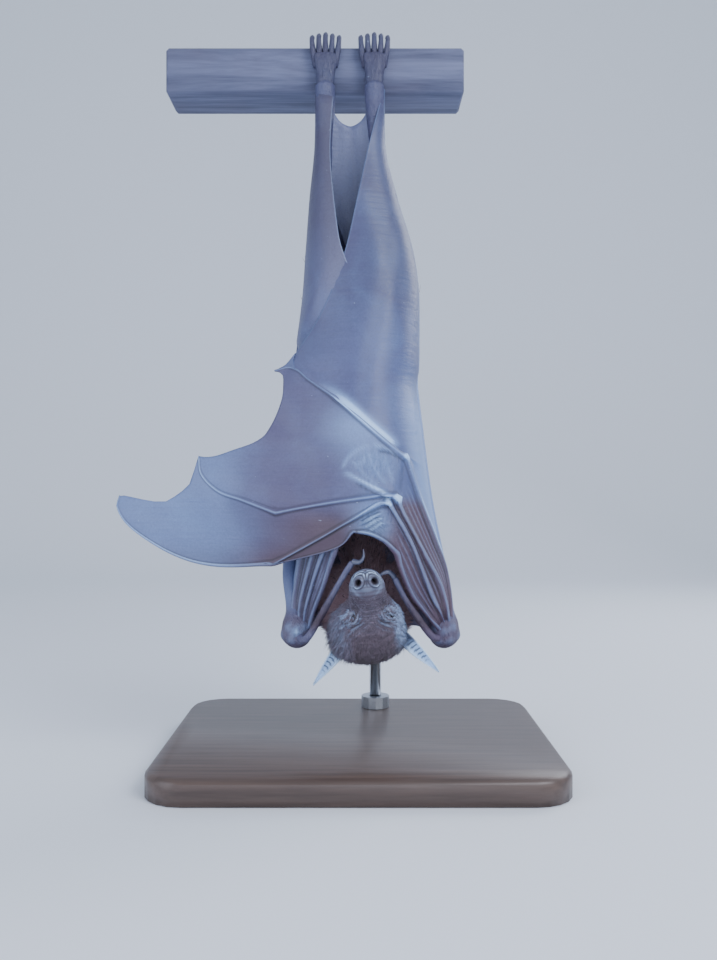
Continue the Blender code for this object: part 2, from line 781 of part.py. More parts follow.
def make_thumb(side, skin, horn):
    route = Route(THUMB[side])
    start = first_outside_wrist(side, route, 0.0040)
    tube(
        f"wing_{side}_thumb",
        lambda share: route(start + (1 - start) * share),
        lambda share: 0.0034 - 0.0010 * share,
        skin,
        rows=5,
        sides=6,
    )
    tube(f"wing_{side}_thumb_claw", Route(THUMB_CLAW[side]), claw_radius(0.0021), horn, rows=5, sides=5)


# ---------------------------------------------------------------- fingers


class Digit:
    """One finger, read by bones: 0 at the wrist, 1 at the knuckle, 2 at the middle joint, 3 at the tip."""

    def __init__(self, side, number):
        bones = (RIGHT_DIGITS if side == "right" else LEFT_DIGITS)[number]
        # Past its knuckle the fifth finger lies in the wrap's own face, where its membrane's edge runs.
        behind = [DIGIT_DEPTH[number]] + [0.0 if number == 5 else DIGIT_DEPTH[number]] * (len(bones) - 1)
        routes = [on_face(side, bone, depth) for bone, depth in zip(bones, behind)]
        for point in routes[0]:
            front_of_arm = smooth(SIDE_DEPTH, point.z) - forearm_radius(point.z) - 0.0036
            point.y = min(point.y, front_of_arm - (0.0005 if side == "left" else 0.0))
        routes[0][-1] = routes[1][0]
        self.bones = [Route(points) for points in routes]

    def at(self, place):
        bone = min(int(place), len(self.bones) - 1)
        return self.bones[bone](place - bone)


def outside_wrist(side, point, keep):
    centre = Vector((WRIST_X[side], smooth(SIDE_DEPTH, WRIST_HEIGHT), WRIST_HEIGHT))
    offset = point - centre
    return sum((offset[k] / (WRIST_SIZE[k] + keep)) ** 2 for k in range(3)) > 1


def first_outside_wrist(side, read, keep):
    return next(i / 100 for i in range(100) if outside_wrist(side, read(i / 100), keep))


def make_digit(side, number, digit, rows, finish):
    start = first_outside_wrist(side, digit.at, 0.0032)
    bones = by_bones(start, 1.84 if number == 2 else 3.0)
    tube(
        f"wing_{side}_digit_{number}",
        lambda share: digit.at(straight(bones, share)),
        lambda share: smooth(DIGIT_RADIUS, straight(bones, share)),
        finish,
        rows=rows,
        sides=5,
    )


def make_finger_claw(side, digit, horn):
    def route(share):
        return digit.at(1.87 + 0.129 * share) + Vector((0, -0.0012 * math.sin(math.pi * share), 0))

    tube(f"wing_{side}_digit_2_claw", route, claw_radius(0.0012), horn, rows=3, sides=5)


# ---------------------------------------------------------------- membranes


def between(first, second, share, keep_first, keep_second):
    """A point between two edges, each a place and a tangent, that stops short of both."""
    (p, p_along), (q, q_along) = first, second
    away = q - p
    off_p = (away - away.dot(p_along) * p_along).normalized()
    off_q = (away - away.dot(q_along) * q_along).normalized()
    return (p + keep_first * off_p).lerp(q - keep_second * off_q, share)


def with_tangent(read, place, low, high):
    ahead, behind = read(min(place + 0.03, high)), read(max(place - 0.03, low))
    return read(place), (ahead - behind).normalized()


def finger_room(place):
    """How far a membrane keeps from a finger's axis: more where the finger bends."""
    extra = sum(more * math.exp(-(((place - joint) / 0.12) ** 2)) for joint, more in JOINT_ROOM)
    return smooth(DIGIT_RADIUS, place) + 3 * GAP + extra


def by_bones(start, last):
    """Shares out a finger's rows so that some of them fall right on its joints."""
    joints = [joint for joint in (1, 2) if start + 0.1 < joint < last - 0.1]
    stops = [start, *joints, last]
    return [(i / (len(stops) - 1), stop) for i, stop in enumerate(stops)]


def make_web(name, first, second, start, end, scallop, columns, rows, finish, bare_first=9.0):
    """The membrane between two fingers, with its free edge cut back in an arc between their tips."""

    def place(a, b):
        last = end - scallop * 4 * a * (1 - a)
        at = straight(by_bones(start, last), b)
        keep_first = finger_room(at) * (1 - ease(bare_first, bare_first + 0.12, at))
        first_edge = with_tangent(first, at, start, end)
        second_edge = with_tangent(second, at, start, end)
        return between(first_edge, second_edge, a, keep_first, finger_room(at))

    sheet(name, place, columns, rows, finish)


def leading_edge(side, digit):
    """The second finger, then the free edge from its tip to the third finger's middle joint."""
    points = RIGHT_LEADING_EDGE if side == "right" else LEFT_LEADING_EDGE
    free = Route(on_face(side, points, DIGIT_DEPTH[2]))
    turn = 1.4

    def read(place):
        if place <= 1:
            return digit.at(place)
        if place <= turn:
            return digit.at(1 + (place - 1) / (turn - 1) * 0.999)
        return free((place - turn) / (2 - turn))

    return read


# How far along the border of the arm's membrane the fifth finger's tip and knuckle come.
TIP_SHARE, KNUCKLE_SHARE = 0.46, 0.80
BORDER_START, BORDER_END = 3.0, 0.34  # the stretch of the fifth finger that the arm's membrane borders
# How high the arm's membrane meets the fold of the side, by the same shares.
FOLD_HEIGHTS = ((0.0, 0.527), (0.28, 0.370), (TIP_SHARE, 0.272), (KNUCKLE_SHARE, 0.210), (1.0, 0.148))


def arm_border(side, fifth):
    """The arm membrane's inner border by x and height: its free edge, then along the fifth finger."""
    sign = 1 if side == "right" else -1
    points = RIGHT_TRAILING_EDGE if side == "right" else LEFT_TRAILING_EDGE

    def beside_finger(place):
        point, along = with_tangent(fifth.at, place, 0.0, 3.0)
        away = Vector((-along.z, 0, along.x)).normalized()
        if away.x * sign + away.z < 0:
            away.negate()
        room = finger_room(place) + GAP
        return Vector((point.x + room * away.x, 0, point.z + room * away.z))

    tip = beside_finger(BORDER_START)
    free = Route([(x, 0, height) for x, height in points[:-1]] + [tip])

    def read(share):
        if share <= TIP_SHARE:
            return free(share / TIP_SHARE)
        if share <= KNUCKLE_SHARE:
            along = ((share - TIP_SHARE) / (KNUCKLE_SHARE - TIP_SHARE)) ** 1.25
            return beside_finger(BORDER_START + (1.0 - BORDER_START) * along)
        along = (share - KNUCKLE_SHARE) / (1 - KNUCKLE_SHARE)
        return beside_finger(1.0 + (BORDER_END - 1.0) * along)

    return read


def make_front_membrane(side, fifth, rows, finish):
    sign = 1 if side == "right" else -1
    border = arm_border(side, fifth)

    def place(a, b):
        inner = border(b)
        height = straight(FOLD_HEIGHTS, b)
        left, right, _, _ = smooth(WRAP, height)
        edge = (right if side == "right" else left) - sign * 0.5 * fold_radius(height)
        if side == "left":
            edge += left_inset(edge, height)
        x = inner.x + (edge - inner.x) * math.sin(math.pi / 2 * a)
        z = inner.z + (height - inner.z) * a
        return Vector((x, FACE[side](x, z), z))

    sheet(f"wing_{side}_front_membrane", place, 6, rows, finish)


def back_edge(side, height):
    """Where the membrane joins the back: along the flank, and above the hip along the leg."""
    sign = 1 if side == "right" else -1
    half_width, half_depth, x, y = smooth(TRUNK, min(height, 0.385))
    keep = 4 * GAP
    turn = math.radians(52)
    across, deep = (half_width + keep) * math.cos(turn), (half_depth + keep) * math.sin(turn)
    flank = Vector((x + sign * across, y + deep, height))
    leg, radius = leg_at(side, height)
    beside_leg = leg + (radius + keep) * Vector((sign * 0.45, 0.893, 0))
    beside_leg.z = height
    return flank.lerp(beside_leg, ease(0.375, 0.415, height))


BACK_ROWS = 13
# The rows' heights lie closer together at the elbow.
BACK_HEIGHTS = ((0.0, 0.168), (4 / 13, 0.282), (5 / 13, 0.298), (6 / 13, 0.314), (1.0, 0.516))


def make_back_membrane(side, finish):
    sign = 1 if side == "right" else -1

    def place(a, b):
        height = straight(BACK_HEIGHTS, b)
        fold = side_place(height, side)
        fold.y += fold_radius(height) + 2 * GAP
        fold.x += sign * 0.25 * fold_radius(height)
        end = back_edge(side, height)
        turn = math.pi / 2 * a
        x = end.x + (fold.x - end.x) * math.cos(turn)
        y = fold.y + (end.y - fold.y) * math.sin(turn)
        return Vector((x, y, height))

    sheet(f"wing_{side}_back_membrane", place, 5, BACK_ROWS, finish)


def make_wing(side, skin, fur, horn):
    make_forearm(side, skin)
    make_upper_arm(side, fur, skin)
    make_thumb(side, skin, horn)
    shown = side == "right"  # the left hand is folded away under the right one, so it needs fewer faces
    digits = {number: Digit(side, number) for number in (2, 3, 4, 5)}
    short_rows, long_rows = (8, 18) if shown else (6, 9)
    for number, digit in digits.items():
        make_digit(side, number, digit, short_rows if number == 2 else long_rows, skin)
    make_finger_claw(side, digits[2], horn)
    columns, rows, middle_rows = (4, 15, 12) if shown else (2, 9, 9)
    name = f"wing_{side}_web"
    lead, third, fourth, fifth = leading_edge(side, digits[2]), digits[3].at, digits[4].at, digits[5].at
    make_web(f"{name}_2_3", lead, third, 0.30, 1.86, 0.0, columns, rows * 2 // 3, skin, bare_first=1.50)
    make_web(f"{name}_3_4", third, fourth, PARTED[side], 2.95, SCALLOP["3_4"], columns, middle_rows, skin)
    make_web(f"{name}_4_5", fourth, fifth, 0.40, 2.95, SCALLOP["4_5"], columns, rows, skin)
    make_front_membrane(side, digits[5], 24 if shown else 16, skin)
    make_back_membrane(side, skin)


def main():
    for old in list(bpy.data.objects):
        bpy.data.objects.remove(old)
    wood = material("stained oak", "5f4a3a", 0.6)
    steel = material("brushed steel", "b8bbbf", 0.35, 1.0)
    fur = material("fur", "4a3a38", 0.9)
    skin = material("wing skin", "68779b", 0.5)
    horn = material("claw horn", "2c2a30", 0.35)
    eye = material("eye", "120d0c", 0.1)
    make_base(wood)
    make_rod(steel)
    make_beam(wood)
    trunk_room = make_body(fur, skin, eye)
    for side in ("right", "left"):
        make_leg(side, fur, trunk_room)
        make_foot(side, skin, horn)
        make_wing(side, skin, fur, horn)
    make_tail_membrane(skin)


main()
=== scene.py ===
"""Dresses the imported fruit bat: skin, coat, eyes and claws, and the wood and steel that carry it."""

import math

import bmesh
import bpy
import numpy as np
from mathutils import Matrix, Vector


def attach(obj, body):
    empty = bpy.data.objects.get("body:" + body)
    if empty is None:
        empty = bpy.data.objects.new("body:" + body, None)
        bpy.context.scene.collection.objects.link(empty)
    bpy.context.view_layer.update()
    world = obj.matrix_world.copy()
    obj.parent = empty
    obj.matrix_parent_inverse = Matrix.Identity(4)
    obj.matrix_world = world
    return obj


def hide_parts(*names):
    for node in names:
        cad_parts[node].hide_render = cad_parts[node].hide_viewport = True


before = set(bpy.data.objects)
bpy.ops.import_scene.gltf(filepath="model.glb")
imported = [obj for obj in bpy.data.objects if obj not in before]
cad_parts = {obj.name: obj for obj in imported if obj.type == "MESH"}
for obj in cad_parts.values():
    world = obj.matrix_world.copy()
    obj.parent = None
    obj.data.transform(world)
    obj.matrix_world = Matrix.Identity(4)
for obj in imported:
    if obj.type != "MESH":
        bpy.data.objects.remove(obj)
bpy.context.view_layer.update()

MM = 0.001
RANDOM = np.random.default_rng(7)
SIGN = {"right": 1, "left": -1}  # the bat's own right and left

# ---------------------------------------------------------------- reading named sizes


def array(values):
    return np.array(values, float)


def unit(vectors):
    vectors = np.asarray(vectors, float)
    return vectors / np.maximum(np.linalg.norm(vectors, axis=-1, keepdims=True), 1e-12)


def length_of(vectors):
    return np.linalg.norm(vectors, axis=-1)


def stacked(x, y, z):
    """Places from their three coordinates, each an array or one number."""
    return np.stack(np.broadcast_arrays(x, y, z), axis=-1)


def evenly(count):
    """Shares from 0 to 1 in even steps."""
    return np.linspace(0, 1, count + 1)


def turns(count):
    """Angles once round in even steps."""
    return np.linspace(0, math.tau, count + 1)


def ease(low, high, at):
    """A smooth rise from 0 at one place to 1 at another."""
    t = np.clip((np.asarray(at, float) - low) / (high - low), 0.0, 1.0)
    return t * t * (3 - 2 * t)


def band(low, full, fading, gone, at):
    """A smooth rise from 0 to 1, a level stretch, and a smooth fall back to 0."""
    return ease(low, full, at) * (1 - ease(fading, gone, at))


def bell(distance, reach):
    return np.exp(-((distance / reach) ** 2))


class Table:
    """Values read between named stations on a smooth curve that never overshoots them."""

    def __init__(self, *rows):
        rows = array(sorted(rows))
        self.stops, self.values = rows[:, 0], rows[:, 1:]
        self.spans = np.diff(self.stops)
        self.rises = np.diff(self.values, axis=0) / self.spans[:, None]
        row = np.arange(len(rows))
        low, high = np.maximum(row - 1, 0), np.minimum(row + 1, row[-1])
        slopes = (self.values[high] - self.values[low]) / (self.stops[high] - self.stops[low])[:, None]
        self.starts, self.ends = self.held(slopes[:-1]), self.held(slopes[1:])

    def held(self, slopes):
        steepest = np.sign(self.rises) * np.minimum(np.abs(slopes), 3 * np.abs(self.rises))
        return np.where(slopes * self.rises <= 0, 0.0, steepest)

    def __call__(self, at):
        at = np.clip(np.asarray(at, float), self.stops[0], self.stops[-1])
        i = np.clip(np.searchsorted(self.stops, at) - 1, 0, len(self.spans) - 1)
        span = self.spans[i][..., None]
        t = (at - self.stops[i])[..., None] / span
        found = self.values[i] * (1 + 2 * t) * (1 - t) ** 2 + span * self.starts[i] * t * (1 - t) ** 2
        found = found + self.values[i + 1] * t * t * (3 - 2 * t) - span * self.ends[i] * t * t * (1 - t)
        return found[..., 0] if found.shape[-1] == 1 else np.moveaxis(found, -1, 0)


class Route:
    """A smooth curve through points, read by its share of the length."""

    def __init__(self, points):
        points = array(points)
        self.points = np.vstack([2 * points[0] - points[1], points, 2 * points[-1] - points[-2]])
        self.reached = np.concatenate([[0.0], np.cumsum(length_of(np.diff(points, axis=0)))])
        self.length = self.reached[-1]

    def __call__(self, share):
        at = np.clip(np.asarray(share, float), 0.0, 1.0) * self.length
        i = np.clip(np.searchsorted(self.reached, at) - 1, 0, len(self.reached) - 2)
        t = ((at - self.reached[i]) / (self.reached[i + 1] - self.reached[i]))[..., None]
        p0, p1, p2, p3 = (self.points[i + k] for k in range(4))
        bend = (2 * p0 - 5 * p1 + 4 * p2 - p3) * t * t + (3 * p1 - p0 - 3 * p2 + p3) * t**3
        return 0.5 * (2 * p1 + (p2 - p0) * t + bend)


# ---------------------------------------------------------------- sizes, in metres, as the solids have them

# The wrapped body: height, left edge, right edge, front depth.
WRAP = Table(
    (0.105, -0.0590, 0.0761, 0.050), (0.128, -0.0589, 0.0722, 0.064), (0.160, -0.0585, 0.0665, 0.084),
    (0.205, -0.0578, 0.0585, 0.092), (0.260, -0.0556, 0.0524, 0.079), (0.300, -0.0530, 0.0487, 0.064),
    (0.364, -0.0448, 0.0484, 0.048), (0.401, -0.0420, 0.0436, 0.040), (0.444, -0.0388, 0.0308, 0.030),
    (0.484, -0.0348, 0.0212, 0.0205), (0.533, -0.0340, 0.0204, 0.0150),
)
ROUNDNESS = 2.5
SIDE_DEPTH = Table(
    (0.093, -0.042), (0.107, -0.040), (0.204, -0.012), (0.292, 0.012), (0.340, 0.007), (0.533, -0.004),
)
# How deep the left wing lies under the right one, and how far left the right one covers it.
LEFT_WING_INSET = Table((0.31, 0.0078), (0.39, 0.0030), (0.44, 0.0005), (0.48, 0.0))
COVERED = Table(
    (0.270, -0.100), (0.302, -0.070), (0.316, -0.048), (0.348, -0.027), (0.391, -0.011), (0.471, 0.006),
)
FOREARM = Table(
    (0.093, 0.0020), (0.096, 0.0085), (0.105, 0.0120), (0.113, 0.0112), (0.124, 0.0074), (0.150, 0.0056),
    (0.204, 0.0065), (0.250, 0.0070), (0.289, 0.0074), (0.297, 0.0056), (0.303, 0.0028), (0.306, 0.0010),
)
WRIST_HEIGHT = 0.107
WRIST_X = {"right": 0.0645, "left": -0.0465}

# The fingers, as the x and height of their bones from the wrist.
DIGITS = {
    "right": {
        2: (
            ((0.0634, 0.1047), (0.0515, 0.1203), (0.0399, 0.1355), (0.0314, 0.1536), (0.0268, 0.1689)),
            ((0.0268, 0.1689), (0.0181, 0.1774), (0.0074, 0.1825), (-0.0039, 0.1840)),
        ),
        3: (
            ((0.0650, 0.1110), (0.0511, 0.1413), (0.0362, 0.1770), (0.0203, 0.2052)),
            ((0.0203, 0.2052), (0.0110, 0.2016), (-0.0202, 0.1830), (-0.0619, 0.1592)),
            (
                (-0.0619, 0.1592), (-0.1056, 0.1572), (-0.1377, 0.1649), (-0.1690, 0.1836), (-0.1805, 0.1985),
                (-0.1787, 0.2080),
            ),
        ),
        4: (
            ((0.0682, 0.1107), (0.0604, 0.1407), (0.0460, 0.1682), (0.0320, 0.1945), (0.0268, 0.2072)),
            ((0.0268, 0.2072), (0.0170, 0.2086), (-0.0159, 0.2045), (-0.0412, 0.2001), (-0.0590, 0.1964)),
            ((-0.0590, 0.1964), (-0.0842, 0.2056), (-0.1019, 0.2116), (-0.1150, 0.2235), (-0.1183, 0.2376)),
        ),
        5: (
            ((0.0706, 0.1106), (0.0660, 0.1491), (0.0557, 0.1757), (0.0430, 0.2077), (0.0334, 0.2365)),
            ((0.0334, 0.2365), (0.0277, 0.2401), (0.0054, 0.2592), (-0.0165, 0.2793)),
            ((-0.0165, 0.2793), (-0.0367, 0.2941), (-0.0451, 0.3015), (-0.0535, 0.3046), (-0.0635, 0.3022)),
        ),
    },
    "left": {
        2: (
            ((-0.0372, 0.1089), (-0.0339, 0.1218), (-0.0268, 0.1406), (-0.0170, 0.1693)),
            ((-0.0170, 0.1693), (-0.0125, 0.1830), (-0.0070, 0.1949)),
        ),
        3: (
            ((-0.0410, 0.1120), (-0.0375, 0.1300), (-0.0265, 0.1650), (-0.0110, 0.2050)),
            ((-0.0110, 0.2050), (0.0100, 0.2030), (0.0300, 0.2060)),
            ((0.0300, 0.2060), (0.0370, 0.2250), (0.0375, 0.2550)),
        ),
        4: (
            ((-0.0445, 0.1120), (-0.0425, 0.1300), (-0.0330, 0.1650), (-0.0180, 0.2200)),
            ((-0.0180, 0.2200), (0.0040, 0.2280), (0.0220, 0.2440)),
            ((0.0220, 0.2440), (0.0270, 0.2620), (0.0260, 0.2820)),
        ),
        5: (
            ((-0.0490, 0.1120), (-0.0480, 0.1300), (-0.0400, 0.1700), (-0.0250, 0.2360)),
            ((-0.0250, 0.2360), (-0.0100, 0.2560), (0.0060, 0.2740)),
            ((0.0060, 0.2740), (0.0140, 0.2870), (0.0180, 0.3020)),
        ),
    },
}
DIGIT_DEPTH = {2: -0.0010, 3: -0.0012, 4: -0.0008, 5: 0.0020}
DIGIT_RADIUS = Table(
    (0.00, 0.0017), (0.45, 0.0022), (0.85, 0.0020), (1.00, 0.0024), (1.12, 0.0018), (1.90, 0.0014),
    (2.00, 0.0018), (2.10, 0.0013), (3.00, 0.0006),
)
LEADING_EDGE = {
    "right": ((-0.0039, 0.1840), (-0.0131, 0.1733), (-0.0345, 0.1660), (-0.0619, 0.1592)),
    "left": ((-0.0070, 0.1949), (0.0060, 0.1965), (0.0180, 0.1980), (0.0300, 0.2060)),
}
# How far the free edges are cut back between the fingertips, in bones, by the share across each web in turn.
SCALLOP = (
    Table((0.0, 0.0), (1.0, 0.0)),
    Table((0.0, 0.0), (0.1, 0.02), (0.25, 0.08), (0.5, 0.19), (0.8, 0.20), (0.93, 0.12), (1.0, 0.0)),
    Table((0.0, 0.0), (0.12, 0.13), (0.28, 0.29), (0.5, 0.50), (0.75, 0.43), (0.9, 0.24), (1.0, 0.0)),
)
TRAILING_EDGE = {
    "right": (
        (0.0202, 0.5300), (0.0129, 0.5017), (0.0058, 0.4714), (-0.0012, 0.4352), (-0.0110, 0.3915),
        (-0.0274, 0.3476), (-0.0477, 0.3161), (-0.0635, 0.3022),
    ),
    "left": (
        (-0.0196, 0.5200), (-0.0216, 0.4938), (-0.0214, 0.4644), (-0.0157, 0.4111), (-0.0110, 0.3915),
        (0.0040, 0.3500), (0.0180, 0.3020),
    ),
}
# How far the skin lies inside the solids' fur, over the trunk and neck and over the ruffs.
UNDER_COAT, UNDER_RUFF = 4 * MM, 2 * MM
# The trunk: height, half width, half depth, then the x and y of its middle.
TRUNK = Table(
    (0.396, 0.000, 0.000, -0.001, 0.012), (0.393, 0.011, 0.010, -0.001, 0.012),
    (0.385, 0.018, 0.016, -0.001, 0.012), (0.362, 0.023, 0.020, -0.001, 0.013),
    (0.330, 0.025, 0.023, -0.001, 0.014), (0.290, 0.026, 0.024, -0.002, 0.014),
    (0.250, 0.030, 0.027, 0.000, 0.014), (0.210, 0.033, 0.029, 0.002, 0.014),
    (0.180, 0.033, 0.029, 0.003, 0.013), (0.160, 0.028, 0.025, 0.004, 0.011),
    (0.150, 0.018, 0.016, 0.004, 0.010), (0.146, 0.000, 0.000, 0.004, 0.010),
)
NOSE = array((0.005, -0.100, 0.1525))
HEAD_PITCH = math.radians(45)
HEAD_YAW = math.radians(4.6)
HEAD_ROLL = math.radians(7)
# The head: distance behind the nose, half width, then reach above and below the axis.
HEAD = Table(
    (-0.0035, 0.0000, 0.0000, 0.0000), (-0.0025, 0.0055, 0.0035, 0.0050), (0.000, 0.0092, 0.0050, 0.0080),
    (0.006, 0.0122, 0.0080, 0.0110), (0.014, 0.0132, 0.0095, 0.0130), (0.024, 0.0142, 0.0110, 0.0140),
    (0.034, 0.0185, 0.0140, 0.0150), (0.042, 0.0230, 0.0175, 0.0170), (0.052, 0.0262, 0.0210, 0.0190),
    (0.062, 0.0280, 0.0220, 0.0200), (0.072, 0.0275, 0.0200, 0.0200), (0.082, 0.0240, 0.0155, 0.0170),
    (0.088, 0.0155, 0.0095, 0.0100), (0.091, 0.0000, 0.0000, 0.0000),
)
EYE_RADIUS = 0.0058
EYE_PLACE = array((0.0328, 0.0126, 0.0068))  # behind the nose, out from the middle, up from the axis
EAR_BASE = (0.070, 0.0250, 0.0080)
EAR_TIP = {"left": array((-0.0345, -0.050, 0.066)), "right": array((0.0610, -0.050, 0.076))}
EAR_WIDTH = 0.0068  # radius of its rolled cone at the widest
NECK_ROUTE = (
    (0.0095, -0.047, 0.103), (0.0080, -0.022, 0.122), (0.0050, 0.006, 0.160), (0.0040, 0.012, 0.185),
)
NECK_RADIUS = Table((0.0, 0.0185), (0.4, 0.0225), (0.75, 0.0235), (1.0, 0.0200))
RUFF = {
    "left": ((-0.0110, -0.0330, 0.1260), (0.0200, 0.0150, 0.0300)),
    "right": ((0.0300, -0.0280, 0.1300), (0.0165, 0.0130, 0.0270)),
}
LEG_ROUTE = {
    "right": (
        (0.0126, -0.0062, 0.5325), (0.0132, -0.0030, 0.5000), (0.0160, 0.0020, 0.4680),
        (0.0215, 0.0060, 0.4430), (0.0170, 0.0095, 0.4130), (0.0090, 0.0120, 0.3800),
    ),
    "left": (
        (-0.0264, -0.0062, 0.5325), (-0.0262, -0.0030, 0.5000), (-0.0272, 0.0020, 0.4680),
        (-0.0285, 0.0060, 0.4430), (-0.0210, 0.0095, 0.4130), (-0.0110, 0.0120, 0.3800),
    ),
}
LEG_RADIUS = Table((0.0, 0.0068), (0.2, 0.0062), (0.45, 0.0070), (0.6, 0.0082), (0.8, 0.0100), (1.0, 0.0105))
TAIL_MEMBRANE_LOW, TAIL_MEMBRANE_NOTCH, TAIL_MEMBRANE_HIGH = 0.402, 0.503, 0.526
BEAM_FRONT, BEAM_TOP = 0.004, 0.568
SOLE = Table(
    (0.00, 0.0000, 0.0000), (0.06, 0.0055, 0.0045), (0.50, 0.0080, 0.0053), (0.94, 0.0098, 0.0042),
    (1.00, 0.0000, 0.0000),
)
THUMB = {
    "right": (
        (0.0560, -0.0535, 0.1030), (0.0450, -0.0605, 0.1165), (0.0345, -0.0665, 0.1325),
        (0.0262, -0.0735, 0.1490),
    ),
    "left": (
        (-0.0385, -0.0590, 0.1030), (-0.0270, -0.0635, 0.1215), (-0.0120, -0.0770, 0.1490),
        (-0.0046, -0.0830, 0.1610),
    ),
}
THUMB_CLAW = {
    "right": (
        (0.0257, -0.0740, 0.1502), (0.0215, -0.0775, 0.1540), (0.0165, -0.0785, 0.1525),
        (0.0130, -0.0770, 0.1480),
    ),
    "left": (
        (-0.0039, -0.0835, 0.1619), (0.0010, -0.0865, 0.1620), (0.0036, -0.0880, 0.1660),
        (0.0034, -0.0880, 0.1712),
    ),
}


# ---------------------------------------------------------------- the wrap's faces


def fold_radius(height):
    """The forearm's radius, which past the elbow fades into the plain fold of the wing."""
    return FOREARM(height) * (1 - ease(0.304, 0.318, height))


def side_place(height, side):
    """The forearm's axis, and above the elbow the fold of the wing."""
    left, right, _ = WRAP(height)
    edge = right - fold_radius(height) if side == "right" else left + fold_radius(height)
    edge = edge + (WRIST_X[side] - edge) * (1 - ease(0.107, 0.150, height))
    return stacked(edge, SIDE_DEPTH(height), height)


def closed_front(x, height, inset=0.0):
    left, right, front = WRAP(height)
    reach = (right - left) / 2 - inset - 0.5 * fold_radius(height)
    side = SIDE_DEPTH(height) - fold_radius(height)
    share = np.clip(np.abs(x - (left + right) / 2) / reach, 0.0, 1.0)
    return side - (front - inset + side) * (1 - share**ROUNDNESS) ** (1 / ROUNDNESS)


def right_face(x, height):
    """Closed on its own side, and leaving the body for its free tip on the other."""
    left, right, front = WRAP(height)
    away = (left + right) / 2 - x
    free = -front + (0.2 + 0.9 * np.maximum(0.0, height - 0.21)) * away + 0.3 * away**2
    flush = ease(0.29, 0.36, height)
    closed = closed_front(x, height)
    return np.where(away <= 0, closed, free * (1 - flush) + closed * flush)


def left_inset(x, height):
    edge = COVERED(height)
    return LEFT_WING_INSET(height) * ease(edge - 0.012, edge + 0.004, x)


def left_face(x, height):
    return closed_front(x, height, left_inset(x, height))


FACE = {"right": right_face, "left": left_face}


def on_face(side, points, behind=0.0):
    x, height = array(points).T
    return stacked(x, FACE[side](x, height) + behind, height)


class Digit:
    """One finger, read by bones: 0 at the wrist, 1 at the knuckle, 2 at the middle joint, 3 at the tip."""

    def __init__(self, side, number):
        bones = DIGITS[side][number]
        depths = [DIGIT_DEPTH[number]] + [0.0 if number == 5 else DIGIT_DEPTH[number]] * (len(bones) - 1)
        routes = [on_face(side, bone, depth) for bone, depth in zip(bones, depths)]
        front_of_arm = SIDE_DEPTH(routes[0][:, 2]) - FOREARM(routes[0][:, 2]) - 3.6 * MM
        routes[0][:, 1] = np.minimum(routes[0][:, 1], front_of_arm)
        routes[0][-1] = routes[1][0]
        self.bones = [Route(points) for points in routes]

    def at(self, place):
        place = np.asarray(place, float)
        bone = np.clip(place.astype(int), 0, len(self.bones) - 1)
        found = np.zeros(place.shape + (3,))
        for i, route in enumerate(self.bones):
            found = np.where((bone == i)[..., None], route(place - i), found)
        return found


def leading_edge(side, second, third):
    """The second finger, then the free edge from its tip to the third finger, then the third finger."""
    free = Route(on_face(side, LEADING_EDGE[side], DIGIT_DEPTH[2]))
    turn, nearly = 1.4, 0.999  # the place where the free edge starts, and how near the tip the finger is read

    def read(place):
        place = np.asarray(place, float)
        along = np.where(place <= 1, place, 1 + (place - 1) / (turn - 1) * nearly)
        found = np.where((place <= turn)[..., None], second.at(along), free((place - turn) / (2 - turn)))
        return np.where((place > 2)[..., None], third.at(place), found)

    return read


# ---------------------------------------------------------------- making meshes


def mesh_object(name, mesh, *finishes):
    data = bpy.data.meshes.new(name)
    mesh.to_mesh(data)
    mesh.free()
    data.shade_smooth()
    for finish in finishes:
        data.materials.append(finish)
    made = bpy.data.objects.new(name, data)
    bpy.context.collection.objects.link(made)
    return made


def grid_normals(points):
    across, along = np.gradient(points, axis=0), np.gradient(points, axis=1)
    return unit(np.cross(across, along))


def grid(points, **shades):
    """A mesh grid set to an array of places [column, row], with its own UVs and its shades."""
    columns, rows = points.shape[0] - 1, points.shape[1] - 1
    mesh = bmesh.new()
    bmesh.ops.create_grid(mesh, x_segments=columns, y_segments=rows, size=0.5)
    flat = mesh.loops.layers.uv.new("Unwrap")
    for face in mesh.faces:
        for loop in face.loops:
            loop[flat].uv = loop.vert.co.xy + Vector((0.5, 0.5))
    layers = {}
    for name, values in shades.items():
        values = np.clip(np.broadcast_to(values, points.shape[:2]), 0, 1)
        layers[mesh.verts.layers.float.new(name)] = values
    for vertex in mesh.verts:
        place = round((vertex.co.x + 0.5) * columns), round((vertex.co.y + 0.5) * rows)
        vertex.co = points[place]
        for layer, values in layers.items():
            vertex[layer] = values[place]
    return mesh


WELD = 0.002 * MM


def closed_grid(name, points, *finishes, **shades):
    """A grid whose columns close round into a tube or ball, its poles welded and its faces turned out."""
    mesh = grid(points, **shades)
    bmesh.ops.remove_doubles(mesh, verts=mesh.verts, dist=WELD)
    bmesh.ops.recalc_face_normals(mesh, faces=mesh.faces)
    return mesh_object(name, mesh, *finishes)


def baked(made):
    """The object with its modifiers applied."""
    graph = bpy.context.evaluated_depsgraph_get()
    built = made.evaluated_get(graph)
    data = bpy.data.meshes.new_from_object(built, preserve_all_data_layers=True, depsgraph=graph)
    old = made.data
    made.modifiers.clear()
    made.data = data
    bpy.data.meshes.remove(old)
    return made


def shade(made, **shades):
    """Stores shares, one for each vertex or one for all, that the skin's colours and wrinkles read."""
    for name, values in shades.items():
        layer = made.data.attributes.new(name, "FLOAT", "POINT")
        values = np.broadcast_to(np.clip(values, 0, 1), (len(made.data.vertices),))
        layer.data.foreach_set("value", np.ascontiguousarray(values, dtype=np.float32))
    return made


